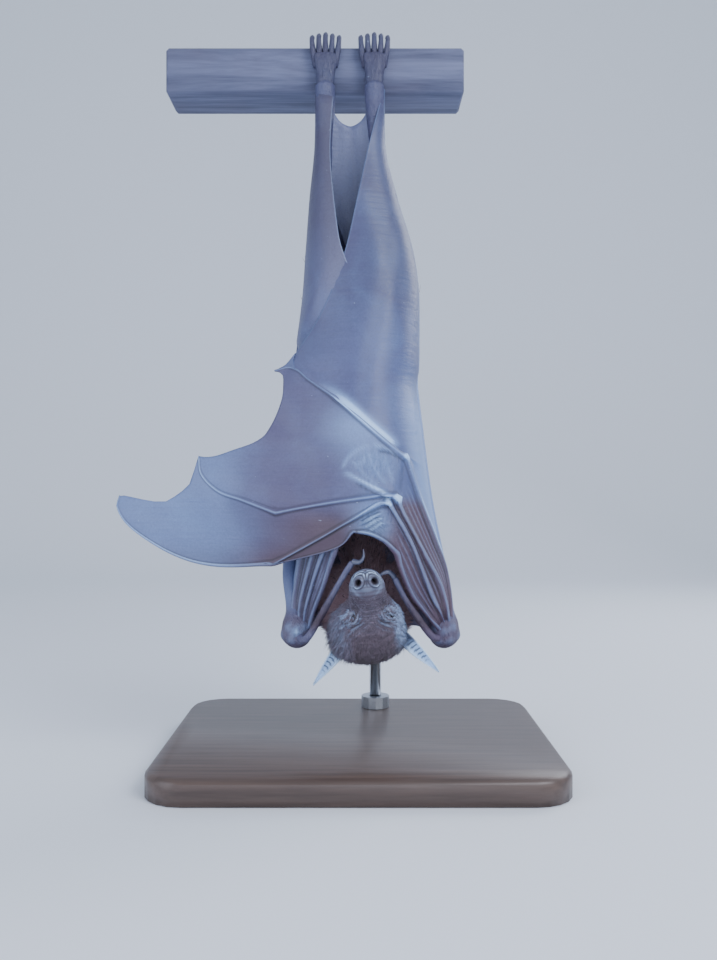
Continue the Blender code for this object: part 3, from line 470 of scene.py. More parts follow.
def vertex_values(made, name):
    """A vector of each vertex: its place or its normal."""
    values = np.zeros(len(made.data.vertices) * 3)
    made.data.vertices.foreach_get(name, values)
    return values.reshape(-1, 3)


THICKEST = 16 * MM


def walled(name, points, thickness, *finishes, **shades):
    """A grid of skin given a wall of its own thickness at each point, half of it on each side."""
    made = mesh_object(name, grid(points, **shades), *finishes)
    group = made.vertex_groups.new(name="thickness")
    weights = np.clip(thickness / THICKEST, 0.002, 1.0).T.ravel()
    for index, weight in enumerate(weights.tolist()):
        group.add([index], weight, "REPLACE")
    wall = made.modifiers.new("wall", "SOLIDIFY")
    wall.thickness = THICKEST
    wall.offset = 0.0
    wall.vertex_group = "thickness"
    made = baked(made)
    made.vertex_groups.clear()
    return made


def tube_points(route, radius, rows, sides, flat=1.0):
    """Rings of places round a route, closed by rounded ends."""
    share = np.concatenate([[0.0, 0.0], 0.5 - 0.5 * np.cos(np.pi * evenly(rows)), [1.0, 1.0]])
    closing = np.concatenate([[0.0, 0.55], np.ones(rows + 1), [0.55, 0.0]])
    centres = route(share)
    along = unit(np.gradient(centres, axis=0) + 1e-9 * (centres[-1] - centres[0]))
    along[:2], along[-2:] = along[2], along[-3]
    rounding = radius(share)[:, None] * 0.5 * along
    centres[0] -= rounding[0]
    centres[1] -= 0.8 * rounding[1]
    centres[-1] += rounding[-1]
    centres[-2] += 0.8 * rounding[-2]
    across = array((0.31, 0.21, 0.93))  # a direction that no route here takes
    frames = []
    for direction in along:
        across = unit(across - across.dot(direction) * direction)
        frames.append(across)
    right = array(frames)
    over = np.cross(along, right)
    turn = turns(sides)[:, None, None]
    ring = np.cos(turn) * right + flat * np.sin(turn) * over
    return centres + (radius(share) * closing)[:, None] * ring


def join(name, parts):
    with bpy.context.temp_override(
        active_object=parts[0], selected_editable_objects=parts, selected_objects=parts
    ):
        bpy.ops.object.join()
    parts[0].name = name
    parts[0].data.name = name
    return parts[0]


# ---------------------------------------------------------------- folds and wrinkles

WEB = 0.8 * MM  # the wing's bare skin
BESIDE_BONE = array((0.0, 0.7, 1.4, 2.1, 3.0, 4.2)) * MM


def web_shares(width, count, both=True):
    """Shares across a web of a given width, crowded beside its bones."""
    even = evenly(count)[:, None] + 0 * width
    near = len(BESIDE_BONE)
    offsets = BESIDE_BONE[:, None] / np.maximum(width, 4 * MM)
    crowded = np.empty_like(even)
    crowded[:near] = offsets
    inner = count + 1 - (2 * near if both else near)
    stop = 1 - offsets[-1] if both else np.ones_like(width)
    steps = np.linspace(0, 1, inner + (2 if both else 1))[1 : inner + 1, None]
    crowded[near : near + inner] = offsets[-1] + (stop - offsets[-1]) * steps
    if both:
        crowded[near + inner :] = 1 - offsets[::-1]
    room = ease(12 * MM, 26 * MM, width)
    return even * (1 - room) + crowded * room


def near_route(points, route):
    """How far each point lies from a route given by x and height, and how far along it."""
    flat = points[..., [0, 2]]
    nearest, along = np.full(flat.shape[:-1], 1e9), np.zeros(flat.shape[:-1])
    route = array(route)
    steps = length_of(np.diff(route, axis=0))
    reached = np.concatenate([[0.0], np.cumsum(steps)]) / steps.sum()
    for i, (start, end) in enumerate(zip(route[:-1], route[1:])):
        run = end - start
        t = np.clip(((flat - start) @ run) / run.dot(run), 0, 1)
        away = length_of(flat - start - t[..., None] * run)
        closer = away < nearest
        nearest = np.where(closer, away, nearest)
        along = np.where(closer, reached[i] + t * (reached[i + 1] - reached[i]), along)
    return nearest, along


def rounded_route(points, count=14):
    """A listed route of x and height, rounded off."""
    return Route([(x, 0.0, height) for x, height in points])(np.linspace(0, 1, count))[:, [0, 2]]


def front_normals(points):
    normals = grid_normals(points)
    return np.where((normals[..., 1] > 0)[..., None], -normals, normals)


def folded(points, folds):
    """The surface with ridges (or, with a height below zero, furrows) raised along routes on its face."""
    lift = np.zeros(points.shape[:-1])
    for route, width, height in folds:
        away, along = near_route(points, rounded_route(route))
        lift += height * bell(away, width) * np.minimum(1, 6 * np.minimum(along, 1 - along) + 0.05)
    return points + lift[..., None] * front_normals(points)


def waves(points, strengths):
    """An uneven swell of a few crossed waves: (length, height, direction across, direction up)."""
    total = np.zeros(points.shape[:-1])
    for i, (length, height, across, up) in enumerate(strengths):
        phase = (across * points[..., 0] + up * points[..., 2]) / length * math.tau
        total += height * np.sin(phase + 1.7 * i + 1.3 * np.sin(0.63 * phase + i))
    return total


# ---------------------------------------------------------------- wings


def bump(distance, radius):
    """The rise of a bone under skin, from 1 over its axis to a slight groove beside it."""
    groove = 0.10 * bell(distance - 1.8 * radius, 0.5 * radius)
    return np.exp(-0.5 * (distance / (0.62 * radius)) ** 2.6) - groove


WRIST_SINK = 8 * MM  # how far the membranes' last rows go back into the wrist
FINGER_END = 2.999  # just short of a finger's tip
STRANDS = (4, 3, 5)  # fine cords along the palm between each pair of fingers
STRAND_HEIGHT = 1.1 * MM
SLACK = (0.03, 0.012, 0.02)  # how deep each web bellies between its fingers, as a share of its width


def hand_points(side, rows, columns):
    """The hand's membranes as one surface: from the leading edge over each finger to the fifth."""
    digits = {number: Digit(side, number) for number in (2, 3, 4, 5)}
    lead = leading_edge(side, digits[2], digits[3])
    fingers = (lead, digits[3].at, digits[4].at, digits[5].at)
    share = evenly(rows)
    along = 3.0 * share

    def lead_radius(at):
        bare = band(1.30, 1.50, 1.88, 2.0, at)
        return DIGIT_RADIUS(at) * (1 - bare) + 0.7 * MM * bare

    radii = (lead_radius, DIGIT_RADIUS, DIGIT_RADIUS, DIGIT_RADIUS)
    made = []  # for each column its places, walls, ridges, strands and the lines beside its fingers

    def round_off(edge, radius, parts):
        """Columns that close an outer edge round, away from the fourth finger."""
        places = edge(along)
        tangent = unit(np.gradient(places, axis=0))
        away = places - digits[4].at(along)
        away = unit(away - (away * tangent).sum(-1, keepdims=True) * tangent)
        for part in parts:
            wall = 2 * radius * np.sqrt(1 - part**2) + 0.02 * MM
            none = 0 * along
            made.append((places + away * (radius * part)[:, None], wall, none + 1 - part**2, none, none))

    roundings = (1.0, 0.92, 0.70, 0.38)
    round_off(lead, lead_radius(along), roundings)
    for web, count in enumerate(columns):
        first, second = fingers[web], fingers[web + 1]
        cut = evenly(count)[:, None]
        for _ in range(3):  # the free edge's cut and the columns' places settle each other
            at = (3.0 - SCALLOP[web](cut)) * share[None]
            width = length_of(second(at) - first(at))
            cut = web_shares(width.mean(axis=0), count)[:, -1:]
        p, q = first(at), second(at)
        width = length_of(q - p)
        share_across = web_shares(width.mean(axis=0), count)
        near_first, near_second = share_across * width, (1 - share_across) * width
        first_radius, second_radius = radii[web](at), radii[web + 1](at)
        slim = 1 - 0.22 * ease(1.05, 1.25, at)
        first_ridge = bump(near_first, slim * first_radius)
        second_ridge = bump(near_second, slim * second_radius)
        ridges = np.maximum(first_ridge, second_ridge)
        web_places = p + share_across[..., None] * (q - p)
        web_places[..., 1] += 4 * share_across * (1 - share_across) * width * SLACK[web]
        palm = band(0.10, 0.30, 0.80, 0.98, at) * (1 - ridges.clip(0, 1))
        strands = palm * (0.5 - 0.5 * np.cos(math.tau * STRANDS[web] * share_across)) ** 2
        # Painted shade: dark lines beside each bone, as cast by its ridge, and between the palm's cords.
        beside_second = bell(near_second - 1.6 * slim * second_radius, 0.50 * second_radius)
        beside_first = bell(near_first - 1.7 * first_radius, 0.55 * first_radius)
        beside = np.maximum(beside_second, 0.75 * beside_first) + 0.30 * palm * (1 - strands)
        bones = slim * np.maximum(first_radius * first_ridge, second_radius * second_ridge)
        walls = WEB + 2 * bones + STRAND_HEIGHT * strands
        made.extend(list(zip(web_places, walls, ridges, strands, beside))[min(web, 1) :])
    round_off(digits[5].at, DIGIT_RADIUS(along) + WEB / 2, roundings[::-1])
    places, walls, ridges, strands, beside = (array(values) for values in zip(*made))
    # The roots of the fingers sink into the wrist.
    places[..., 1] += WRIST_SINK * (1 - ease(0.0, 0.20, along))
    return places, walls, (ridges, strands, beside)


TIP_SHARE, KNUCKLE_SHARE = 0.46, 0.80
FOLD_HEIGHTS = ((0.0, 0.527), (0.28, 0.370), (TIP_SHARE, 0.274), (KNUCKLE_SHARE, 0.222), (1.0, 0.146))
CORNER = 2.72  # where on the fifth finger the arm's membrane has its corner, short of the finger's tip
BACK_LOW, BACK_HIGH = 0.166, 0.516


def leg_at(side, height):
    """The leg's axis and radius at a height."""
    route = Route(LEG_ROUTE[side])
    shares = np.linspace(1, 0, 200)
    share = np.interp(height, route(shares)[:, 2], shares)
    return route(share), LEG_RADIUS(share)


def fifth_tip_patch(finish, **shades):
    """The corner of membrane that flares out along the right fifth finger's tip."""
    fifth = Digit("right", 5)
    share = np.linspace(0, 1, 25)
    edge = Route(on_face("right", TRAILING_EDGE["right"][:-1] + (tuple(fifth.at(CORNER)[[0, 2]]),)))
    reached = edge.reached[-2] / edge.length
    on_edge = edge(reached + (1 - reached) * share * 2)
    on_finger = fifth.at(CORNER + (FINGER_END - CORNER) * (share * 2 - 1))
    inner = np.where((share < 0.5)[:, None], on_edge, on_finger)
    tip = tuple(fifth.at(FINGER_END)[[0, 2]])
    flare = (TRAILING_EDGE["right"][-2], (-0.0548, 0.3078), (-0.0600, 0.3042), tip)
    outer = Route(on_face("right", flare))(share)
    across = np.linspace(-0.15, 1, 11)[:, None, None]
    points = inner + (outer - inner) * across
    wall = WEB + 0.4 * MM * bell(length_of(points - outer), 0.8 * MM)
    return walled("fifth_tip", points, wall, finish, **shades)


def flank(side, height):
    """Where the membrane meets the back, a little inside the body."""
    sign = SIGN[side]
    half_width, half_depth, x, y = TRUNK(np.minimum(height, 0.385))
    sunk = -3.5 * MM
    turn = math.radians(52)
    outward, back = sign * (half_width + sunk) * math.cos(turn), (half_depth + sunk) * math.sin(turn)
    on_trunk = stacked(x + outward, y + back, height)
    leg, radius = leg_at(side, height)
    on_leg = leg + (0.5 * radius)[..., None] * array((sign * 0.45, 0.893, 0))
    on_leg[..., 2] = height
    share = ease(0.375, 0.415, height)[..., None]
    return on_trunk * (1 - share) + on_leg * share


def arm_points(side, rows, front, back):
    """The arm's membrane as one surface: from its free edge and the fifth finger round to the flank."""
    sign = SIGN[side]
    share = evenly(rows)
    fifth = Digit(side, 5)
    free_points = on_face(side, TRAILING_EDGE[side])
    free_points[-1] = fifth.at(CORNER)
    free = Route(free_points)
    along_tip = np.clip((share - TIP_SHARE) / (KNUCKLE_SHARE - TIP_SHARE), 0, 1) ** 1.25
    along_palm = np.clip((share - KNUCKLE_SHARE) / (1 - KNUCKLE_SHARE), 0, 1)
    place = np.where(share <= KNUCKLE_SHARE, CORNER - (CORNER - 1.0) * along_tip, 1.0 - 0.78 * along_palm)
    on_edge = share <= TIP_SHARE
    inner = np.where(on_edge[:, None], free(share / TIP_SHARE), fifth.at(place))
    height = np.interp(share, *zip(*FOLD_HEIGHTS))
    left, right, _ = WRAP(height)
    edge = (right if side == "right" else left) - sign * 0.5 * fold_radius(height)
    if side == "left":
        edge = edge + left_inset(edge, height)
    width = np.abs(edge - inner[:, 0])
    across = web_shares(width, front, both=False)
    turned = np.sin(math.pi / 2 * across)
    x = inner[:, 0] + (edge - inner[:, 0]) * turned
    z = inner[:, 2] + (height - inner[:, 2]) * across
    y = FACE[side](x, z)
    y = y + (inner[:, 1] - y[0]) * bell(across * width, 9 * MM)
    front_points = stacked(x, y, z)
    radius = np.where(on_edge, 0.5 * MM, DIGIT_RADIUS(place))
    wall = WEB + 2 * np.where(on_edge, 0.25 * MM, radius) * bump(across * width, radius)
    fold = side_place(height, side)
    fold[:, 1] += fold_radius(height)
    fold[:, 0] += sign * 0.25 * fold_radius(height)
    low, high = FOLD_HEIGHTS[-1][1], FOLD_HEIGHTS[0][1]
    end = flank(side, BACK_LOW + (BACK_HIGH - BACK_LOW) * (height - low) / (high - low))
    turn = (evenly(back)[1:, None] * math.pi / 2)[..., None]
    quarter = end + (fold - end) * np.concatenate([np.cos(turn), 0 * turn, np.cos(turn)], axis=-1)
    quarter[..., 1] = fold[:, 1] + (end[:, 1] - fold[:, 1]) * np.sin(turn[..., 0])
    if side == "right":
        # Its free edge lies down on the left wing.
        down = (LEFT_WING_INSET(z) - 0.3 * MM) * band(0.305, 0.325, 0.42, 0.46, z)
        front_points[..., 1] += down * bell(across * width, 13 * MM)
    front_points[..., 1] += WRIST_SINK * ease(0.90, 1.0, share)
    points = np.concatenate([front_points, fold[None], quarter])
    walls = np.concatenate([wall, np.full((back + 1, rows + 1), WEB)])
    ridge = np.concatenate([bump(across * width, radius) + 0 * wall, np.zeros((back + 1, rows + 1))])
    return points, walls, ridge


KNOB_HEIGHT, KNOB_RADIUS = 0.105, 0.012


def forearm_points(side, rows, sides):
    low, high = KNOB_HEIGHT - KNOB_RADIUS, FOREARM.stops[-1]

    def height(share):
        return high + (low - high) * (0.5 * share**0.8 + 0.5 * np.sin(np.pi / 2 * share))

    def route(share):
        return side_place(height(share), side)

    def radius(share):
        knob = np.sqrt(np.maximum(KNOB_RADIUS**2 - (height(share) - KNOB_HEIGHT) ** 2, 0))
        return np.where(height(share) < KNOB_HEIGHT, knob, FOREARM(height(share))) * 0.97

    return tube_points(route, radius, rows, sides)


# The wrist's bony bumps: offset from the middle of the knob (outward, back, up), reach, height.
WRIST_BUMPS = (
    ((0.0060, -0.0095, 0.0035), 0.0030, 0.0017),
    ((-0.0005, -0.0115, 0.0005), 0.0026, 0.0016),
    ((-0.0065, -0.0090, 0.0035), 0.0030, 0.0015),
    ((0.0035, -0.0095, -0.0065), 0.0030, 0.0014),
    ((-0.0045, -0.0085, -0.0070), 0.0028, 0.0012),
    ((0.0100, -0.0030, -0.0040), 0.0036, 0.0012),
    ((0.0028, -0.0115, 0.0045), 0.0014, -0.0010),
    ((-0.0035, -0.0110, 0.0020), 0.0014, -0.0010),
    ((0.0005, -0.0110, -0.0045), 0.0016, -0.0010),
)


def wrist_at(side):
    return array((WRIST_X[side], float(SIDE_DEPTH(WRIST_HEIGHT)), WRIST_HEIGHT))


def wrist_bumps(side):
    for offset, reach, height in WRIST_BUMPS:
        yield wrist_at(side) + array(offset) * (SIGN[side], 1, 1), reach, height


def make_forearm(side, finish):
    """The forearm, pushed out (or in, below zero) round each bump of its wrist."""
    arm = closed_grid(f"forearm_{side}", forearm_points(side, 64, 26), finish)
    places, normals = vertex_values(arm, "co"), vertex_values(arm, "normal")
    lift = sum(height * bell(length_of(places - place), reach) for place, reach, height in wrist_bumps(side))
    arm.data.vertices.foreach_set("co", (places + lift[:, None] * normals).ravel())
    arm.data.update()
    return arm


def upper_arm_points(side, rows, sides):
    sign = SIGN[side]
    shoulder, elbow = (0.002 + sign * 0.031, -0.014, 0.176), (-0.001 + sign * 0.034, -0.003, 0.282)
    route = Route((shoulder, (sign * 0.034, -0.011, 0.235), elbow))
    return tube_points(route, lambda share: (7.6 - 2.2 * share) * MM, rows, sides)


def gusset_points(side, rows, columns):
    """The fold of membrane in front of the arm, from the forearm and wrist in to the neck and upper arm."""
    sign = SIGN[side]
    share = evenly(rows)
    outer = side_place(0.101 + 0.139 * share, side)
    neck = Route(
        (
            (0.008 + sign * 0.010, -0.040, 0.106),
            (0.006 + sign * 0.010, -0.024, 0.130),
            (sign * 0.018, -0.008, 0.165),
            (sign * 0.028, -0.008, 0.200),
            (sign * 0.034, -0.008, 0.240),
        )
    )
    inner = neck(share)
    across = evenly(columns)[:, None]
    points = outer + (inner - outer) * across[..., None]
    slack = np.sin(math.pi * across)
    points[..., 1] += 0.006 * slack - 0.0012 * slack * np.sin(21 * share + 5 * across)
    points[..., 2] += 0.006 * slack * (1 - share)
    return points


def make_thumb(side, finish):
    def radius(share):
        knuckles = 0.40 * bell(share - 0.50, 0.08) + 0.45 * bell(share - 0.97, 0.10)
        return (3.0 - 1.2 * share + knuckles) * MM

    wrist = wrist_at(side) - (0, 0.003, 0.003)
    return closed_grid(f"thumb_{side}", tube_points(Route((wrist, *THUMB[side])), radius, 34, 14), finish)


def make_tail_membrane(finish, **shades):
    across, up = evenly(18)[:, None], evenly(30)[None]
    notch = np.abs(2 * across - 1) ** 2.2
    high = TAIL_MEMBRANE_NOTCH + (TAIL_MEMBRANE_HIGH - TAIL_MEMBRANE_NOTCH) * notch
    low = TAIL_MEMBRANE_LOW - 0.014
    height = low + (high - low) * up
    right, _ = leg_at("right", height)
    left, _ = leg_at("left", height)
    points = left + (right - left) * across[..., None]
    points[..., 2] = height
    points[..., 1] += 0.004 * np.sin(math.pi * across)
    points[..., 1] += 0.5 * MM * np.sin(across * 22 + 3 * up) * up
    wall = WEB + 0.7 * MM * bell((up - 1) * (high - low), 1.2 * MM)
    return walled("tail_web", points, wall, finish, **shades)


# ---------------------------------------------------------------- body, head and feet

BACK = unit((math.sin(HEAD_YAW), math.cos(HEAD_PITCH), -math.sin(HEAD_PITCH)))
OUT = array((math.cos(HEAD_ROLL), 0, math.sin(HEAD_ROLL)))
OUT = unit(OUT - OUT.dot(BACK) * BACK)
TOP = np.cross(BACK, OUT)


def in_head(behind, outward, up):
    """Places by the head's own axes: behind the nose, toward the bat's right, toward the forehead."""
    behind, outward, up = (np.asarray(value, float)[..., None] for value in (behind, outward, up))
    return NOSE + behind * BACK + outward * OUT + up * TOP


def by_head(places):
    """Places in the head's own axes."""
    offset = places - NOSE
    return offset @ BACK, offset @ OUT, offset @ TOP


def head_grid(columns, rows):
    # Rows stand closer over the face than over the furred crown.
    share = np.interp(evenly(rows), (0, 0.06, 0.12, 0.72, 0.94, 1), (0, 0.012, 0.04, 0.52, 0.94, 1))
    first, last = HEAD.stops[0], HEAD.stops[-1]
    behind = first + (last - first) * share
    half_width, above, below = HEAD(behind)
    coat = 0.4 * MM + 1.6 * MM * ease(0.030, 0.060, behind)
    for from_pole in (share, 1 - share):
        coat = coat * np.sin(np.pi * np.clip(from_pole / 0.04, 0, 1) / 2)
    turn = turns(columns)[:, None]
    up = np.where(np.sin(turn) > 0, above - coat, below - coat) * np.sin(turn)
    return behind[None] + 0 * turn, (half_width - coat) * np.cos(turn), up


# The closed lids: where the slit runs, and which way the eye looks, in the head's axes for the right eye.
SLIT = unit((1.0, 0.75, -0.35))
LOOK = array((0.05, 0.62, 0.78))
LOOK = unit(LOOK - LOOK.dot(SLIT) * SLIT)
ACROSS_LIDS = np.cross(SLIT, LOOK)
SLIT_BOW = 14.0  # how strongly the slit bows, in a parabola
NOSTRIL = array((-0.0010, 0.0066, 0.0058))
LID = 0.8 * MM

# Marks on the face, in mm: behind the nose, outward, up, then reach along, across and deep, then height.
# Those off the middle stand on both sides.
FACE_MARKS = (
    (0.8, 6.8, 5.6, 3.6, 3.4, 3.6, 1.5),  # the swollen nostril
    (6.5, 6.6, 8.0, 2.6, 3.0, 3.0, -0.6),  # the dip behind it
    (12.0, 9.5, 4.0, 6.0, 4.0, 5.0, 0.7),  # the whisker pad
    (15.0, 0.0, 10.0, 8.0, 3.2, 4.0, 0.8),  # the bridge
    (23.0, 10.0, 9.0, 5.0, 2.8, 4.0, -1.7),  # the hollow before the eye
    (28.0, 0.0, 12.5, 4.0, 5.0, 4.0, -0.7),  # the stop
    (27.5, 10.5, 9.0, 3.0, 3.4, 3.4, 0.9),  # the fold at the eye's inner corner
    (43.5, 9.0, 15.0, 3.0, 6.5, 5.0, 1.2),  # the brow
    (50.0, 0.0, 17.5, 9.0, 2.8, 5.0, -0.6),  # the furrow of the forehead
    (46.0, 24.0, 2.0, 9.0, 6.0, 8.0, 0.9),  # the cheek
    (62.0, 15.0, 16.0, 13.0, 9.0, 9.0, 1.6),  # the crown's halves
)


def by_slit(from_eye):
    """Places along the slit, across it, out of the eye, and across it from the slit's bowed line."""
    run, off, out = from_eye @ SLIT, from_eye @ ACROSS_LIDS, from_eye @ LOOK
    return run, off, out, off + SLIT_BOW * run**2


def lid_streaks(run, bow):
    """From -1, dark, to 1, pale: the folds of hair beside a shut eye, which run along its slit."""
    return -np.cos(math.tau * bow / (3.3 * MM) + 0.7 * np.sin(run / (2.2 * MM)))


def outward_normals(places):
    """The normals of a head-shaped grid, turned away from its middle."""
    normals = grid_normals(places)
    turned = ((places - array((0.045, 0.0, 0.0))) * normals).sum(-1, keepdims=True) < 0
    return np.where(turned, -normals, normals)


def sculpted(behind, outward, up):
    """The head's surface with its face marked on it, in the head's own axes, and its pale and dark shares."""
    places = stacked(behind, outward, up)

    def near(centre, reach, side):
        away = (places - array(centre) * (MM, side * MM, MM)) / (array(reach) * MM)
        return np.exp(-(away**2).sum(-1))

    share = np.linspace(0, 1, behind.shape[1])
    inside = np.minimum(1, 14 * np.minimum(share, 1 - share))
    lift = sum(
        height * MM * near((u, v, w), (along, across, deep), side)
        for u, v, w, along, across, deep, height in FACE_MARKS
        for side in ((1, -1) if v else (1,))
    )
    places = places + (lift * inside)[..., None] * outward_normals(places)
    lift = np.zeros(behind.shape)
    pale, dark = np.zeros(behind.shape), np.zeros(behind.shape)
    for side in (1, -1):
        mirrored = places * (1, side, 1)
        u, v, w = np.moveaxis(mirrored, -1, 0)
        # Whisker bumps in rows over the muzzle.
        for row in range(4):
            for place in range(5):
                centre = (7.5 + 2.9 * place + 0.8 * row, 10.9 + 0.4 * place - 0.7 * row, 0.5 + 2.2 * row)
                lift += 0.22 * MM * near(centre, (0.8, 0.8, 0.9), side)
        # The nostril: a round hole in the surface nearest its place, with a raised, folded rim.
        away = length_of(mirrored - NOSTRIL)
        hole = mirrored.reshape(-1, 3)[away.argmin()]
        offset = mirrored - hole
        long_way = offset @ unit((0, 1.0, 1.15))
        short_way = offset @ unit((0, 1.15, -1.0))
        away = np.sqrt(offset[..., 0] ** 2 + (long_way / 1.30) ** 2 + (short_way / 0.86) ** 2)
        turn = np.arctan2(offset[..., 1], offset[..., 2])
        rim = 0.75 + 0.30 * np.cos(turn - 0.9) + 0.12 * np.sin(5 * turn)
        lift += rim * MM * bell(away - 3.2 * MM, 0.9 * MM)
        lift -= 4.6 * MM * np.exp(-((away / (2.15 * MM)) ** 4))
        lift -= 0.45 * MM * bell(away - 5.0 * MM, 0.5 * MM)
        # A painted highlight on the rim's lower, outer side; painted shade in the hole and in the groove
        # round the rim.
        pale = np.maximum(pale, (0.42 + 0.50 * np.cos(turn - 0.7)) * bell(away - 3.3 * MM, 0.9 * MM))
        dark = np.maximum(dark, np.exp(-((away / (2.75 * MM)) ** 6)))
        dark = np.maximum(dark, 0.45 * bell(away - 5.0 * MM, 0.5 * MM) * (w > -0.004))
        # The lips' line.
        lips = w + 0.0022 + 0.05 * u
        lift -= 0.8 * MM * bell(lips, 0.8 * MM) * (1 - ease(0.030, 0.040, u)) * ease(-0.004, 0.0, u) * (v > 0)
        # Wrinkles over the upper lip, with painted highlights on their crests and painted shade in their
        # furrows.
        over_lip = bell(away - 6.4 * MM, 2.6 * MM) * (1 - ease(0.003, 0.009, u)) * (1 - ease(0.001, 0.005, w))
        ringed = 0.5 + 0.5 * np.cos(away / (0.27 * MM) + 0.8 * np.sin(3 * turn))
        lift -= 0.42 * MM * ringed**2 * over_lip
        pale = np.maximum(pale, 0.90 * (1 - ringed) * over_lip)
        dark = np.maximum(dark, 0.60 * ringed**3 * over_lip)
        # Creases round the lids along the slit's run, with a painted highlight beside each near one and
        # painted shade in the two nearest the slit.
        run, _, out, bow = by_slit(mirrored - EYE_PLACE)
        within = bell(run, 8 * MM) * ease(0, 0.002, out)
        for place, depth in ((4.9, 0.75), (6.6, 0.60), (8.6, 0.50), (10.6, 0.35), (-5.0, 0.80), (-6.9, 0.50)):
            lift -= depth * MM * bell(bow - place * MM, 0.55 * MM) * within
            if abs(place) < 8:
                pale = np.maximum(pale, 0.55 * bell(bow - (place - 0.9) * MM, 0.6 * MM) * within)
        for place, width, level in ((-5.0, 0.7, 0.75), (4.9, 0.6, 0.60)):
            dark = np.maximum(dark, level * bell(bow - place * MM, width * MM) * within)
    # The groove between the nostrils, darkened with painted shade.
    u, v, w = np.moveaxis(places, -1, 0)
    groove = bell(v, 0.65 * MM) * (1 - ease(0.002, 0.006, u)) * band(-0.007, -0.003, 0.005, 0.008, w)
    lift -= 0.9 * MM * groove
    dark = np.maximum(dark, 0.30 * groove)
    fine = waves(places, ((0.0031, 1, 0.8, 0.6), (0.0043, 1, -0.5, 0.9), (0.0017, 1, 0.4, -0.7)))
    lift += 0.07 * MM * fine
    mottled = waves(places, ((0.0045, 1, 1, 0.7), (0.0062, 1, -0.8, 1.0)))
    pale = np.maximum(pale, (0.30 + 0.10 * mottled) * (1 - ease(0.002, 0.013, u + 0.0012 * fine)))
    for side in (1, -1):
        # The shaded hollow between muzzle and eye.
        dark = np.maximum(dark, 0.55 * near((23.0, 11.0, 8.0), (4.5, 2.6, 4.0), side))
    places = places + (lift * inside)[..., None] * outward_normals(places)
    for side in (1, -1):
        # The lids stretch over the eyeball, puffed and wrinkled beside the slit, and open along it a little.
        from_eye = places * (1, side, 1) - EYE_PLACE
        run, off, out, bow = by_slit(from_eye)
        away = length_of(from_eye)
        open_slit = bell(bow, 0.55 * MM) * np.exp(-((run / (5.6 * MM)) ** 4))
        cover = EYE_RADIUS + LID + 0.35 * MM * bell(np.abs(bow) - 1.8 * MM, 1.0 * MM)
        for place, depth in ((3.2, 0.30), (4.4, 0.28)):
            cover = cover - depth * MM * bell(np.abs(bow) - place * MM, 0.40 * MM)
        cover = cover - (LID + 0.10 * MM) * open_slit
        cover = cover + 0.10 * MM * np.cos(run / (0.35 * MM) + 2.0 * np.sin(off / (0.8 * MM)))
        reached = 0.5 * (away + cover + np.sqrt((away - cover) ** 2 + (0.8 * MM) ** 2))
        over = (out > -0.001) & (away < 0.012)
        fade = (1 - ease(0.0080, 0.0115, away)) * over
        reached = away + (reached - away) * fade
        moved = from_eye * (reached / np.maximum(away, 1e-9))[..., None]
        places = (EYE_PLACE + moved) * (1, side, 1)
        on_lids = np.exp(-((run / (10.0 * MM)) ** 4) - (bow / (8.0 * MM)) ** 4) * ease(0, 0.003, out)
        streaks = lid_streaks(run, bow)
        pale = np.maximum(pale, ease(-0.1, 0.7, streaks) * on_lids * (1 - open_slit))
        dark = np.maximum(dark, 0.75 * ease(0.0, -0.7, streaks) * on_lids)
        # Painted shade along the slit between the lids.
        dark = np.maximum(dark, 1.0 * bell(bow, 0.9 * MM) * bell(run, 9.5 * MM) * (out > 0))
        pale = pale * (1 - dark)
    # The cranium leans a little toward the bat's left.
    places = places - array((0.0, 0.0024, 0.0)) * ease(0.022, 0.060, places[..., :1])
    return places, pale, dark


def head_points(columns, rows):
    places, pale, dark = sculpted(*head_grid(columns, rows))
    return in_head(*np.moveaxis(places, -1, 0)), pale, dark


def ruff_points(side, columns, rows, coat):
    """The furred shoulder that fills the fold between neck and wrist."""
    middle, reach = RUFF[side]
    turn = turns(columns)[:, None]
    down = np.linspace(0, math.pi, rows + 1)[None]
    ring = stacked(np.sin(down) * np.cos(turn), np.sin(down) * np.sin(turn), np.cos(down))
    return array(middle) + (array(reach) - coat) * ring


def trunk_points(columns, rows, coat):
    low, high = TRUNK.stops[0], TRUNK.stops[-1]
    height = low + (high - low) * (0.5 - 0.5 * np.cos(np.pi * evenly(rows)))
    half_width, half_depth, x, y = TRUNK(height)
    turn = turns(columns)[:, None]
    half_width = np.maximum(half_width - coat, half_width * 0.6)
    half_depth = np.maximum(half_depth - coat, half_depth * 0.6)
    return stacked(x + half_width * np.cos(turn), y + half_depth * np.sin(turn), height)


EAR_RIPPLE = 74  # radians of rippling from an ear's root to its tip


def ear_points(side, columns, rows):
    """A rolled, pointed ear, ridged across; its open side faces forward and outward."""
    sign = SIGN[side]
    base = in_head(EAR_BASE[0], sign * EAR_BASE[1], EAR_BASE[2])
    tip = EAR_TIP[side]
    along = unit(tip - base)
    open_side = array((sign * 0.35, -1.0, -0.1))
    open_side = unit(open_side - open_side.dot(along) * along)
    across = np.cross(along, open_side)
    root = base - 0.008 * along
    share = evenly(rows)
    turn = math.radians(235) * (evenly(columns)[:, None] - 0.5)
    reach = EAR_WIDTH * (1.02 - share) ** 0.62 * (0.72 + 0.85 * share * (1 - share))
    ridges = 0.30 * MM * np.sin(share * EAR_RIPPLE + 1.2 * np.sin(turn)) * band(0.15, 0.30, 0.86, 0.96, share)
    reach = reach - 0.5 * MM + ridges * bell(turn, 1.7)
    centre = root + (tip - 1.2 * MM * along - root) * share[:, None]
    ring = np.sin(turn)[..., None] * across - np.cos(turn)[..., None] * open_side
    return centre[None] + reach[..., None] * ring


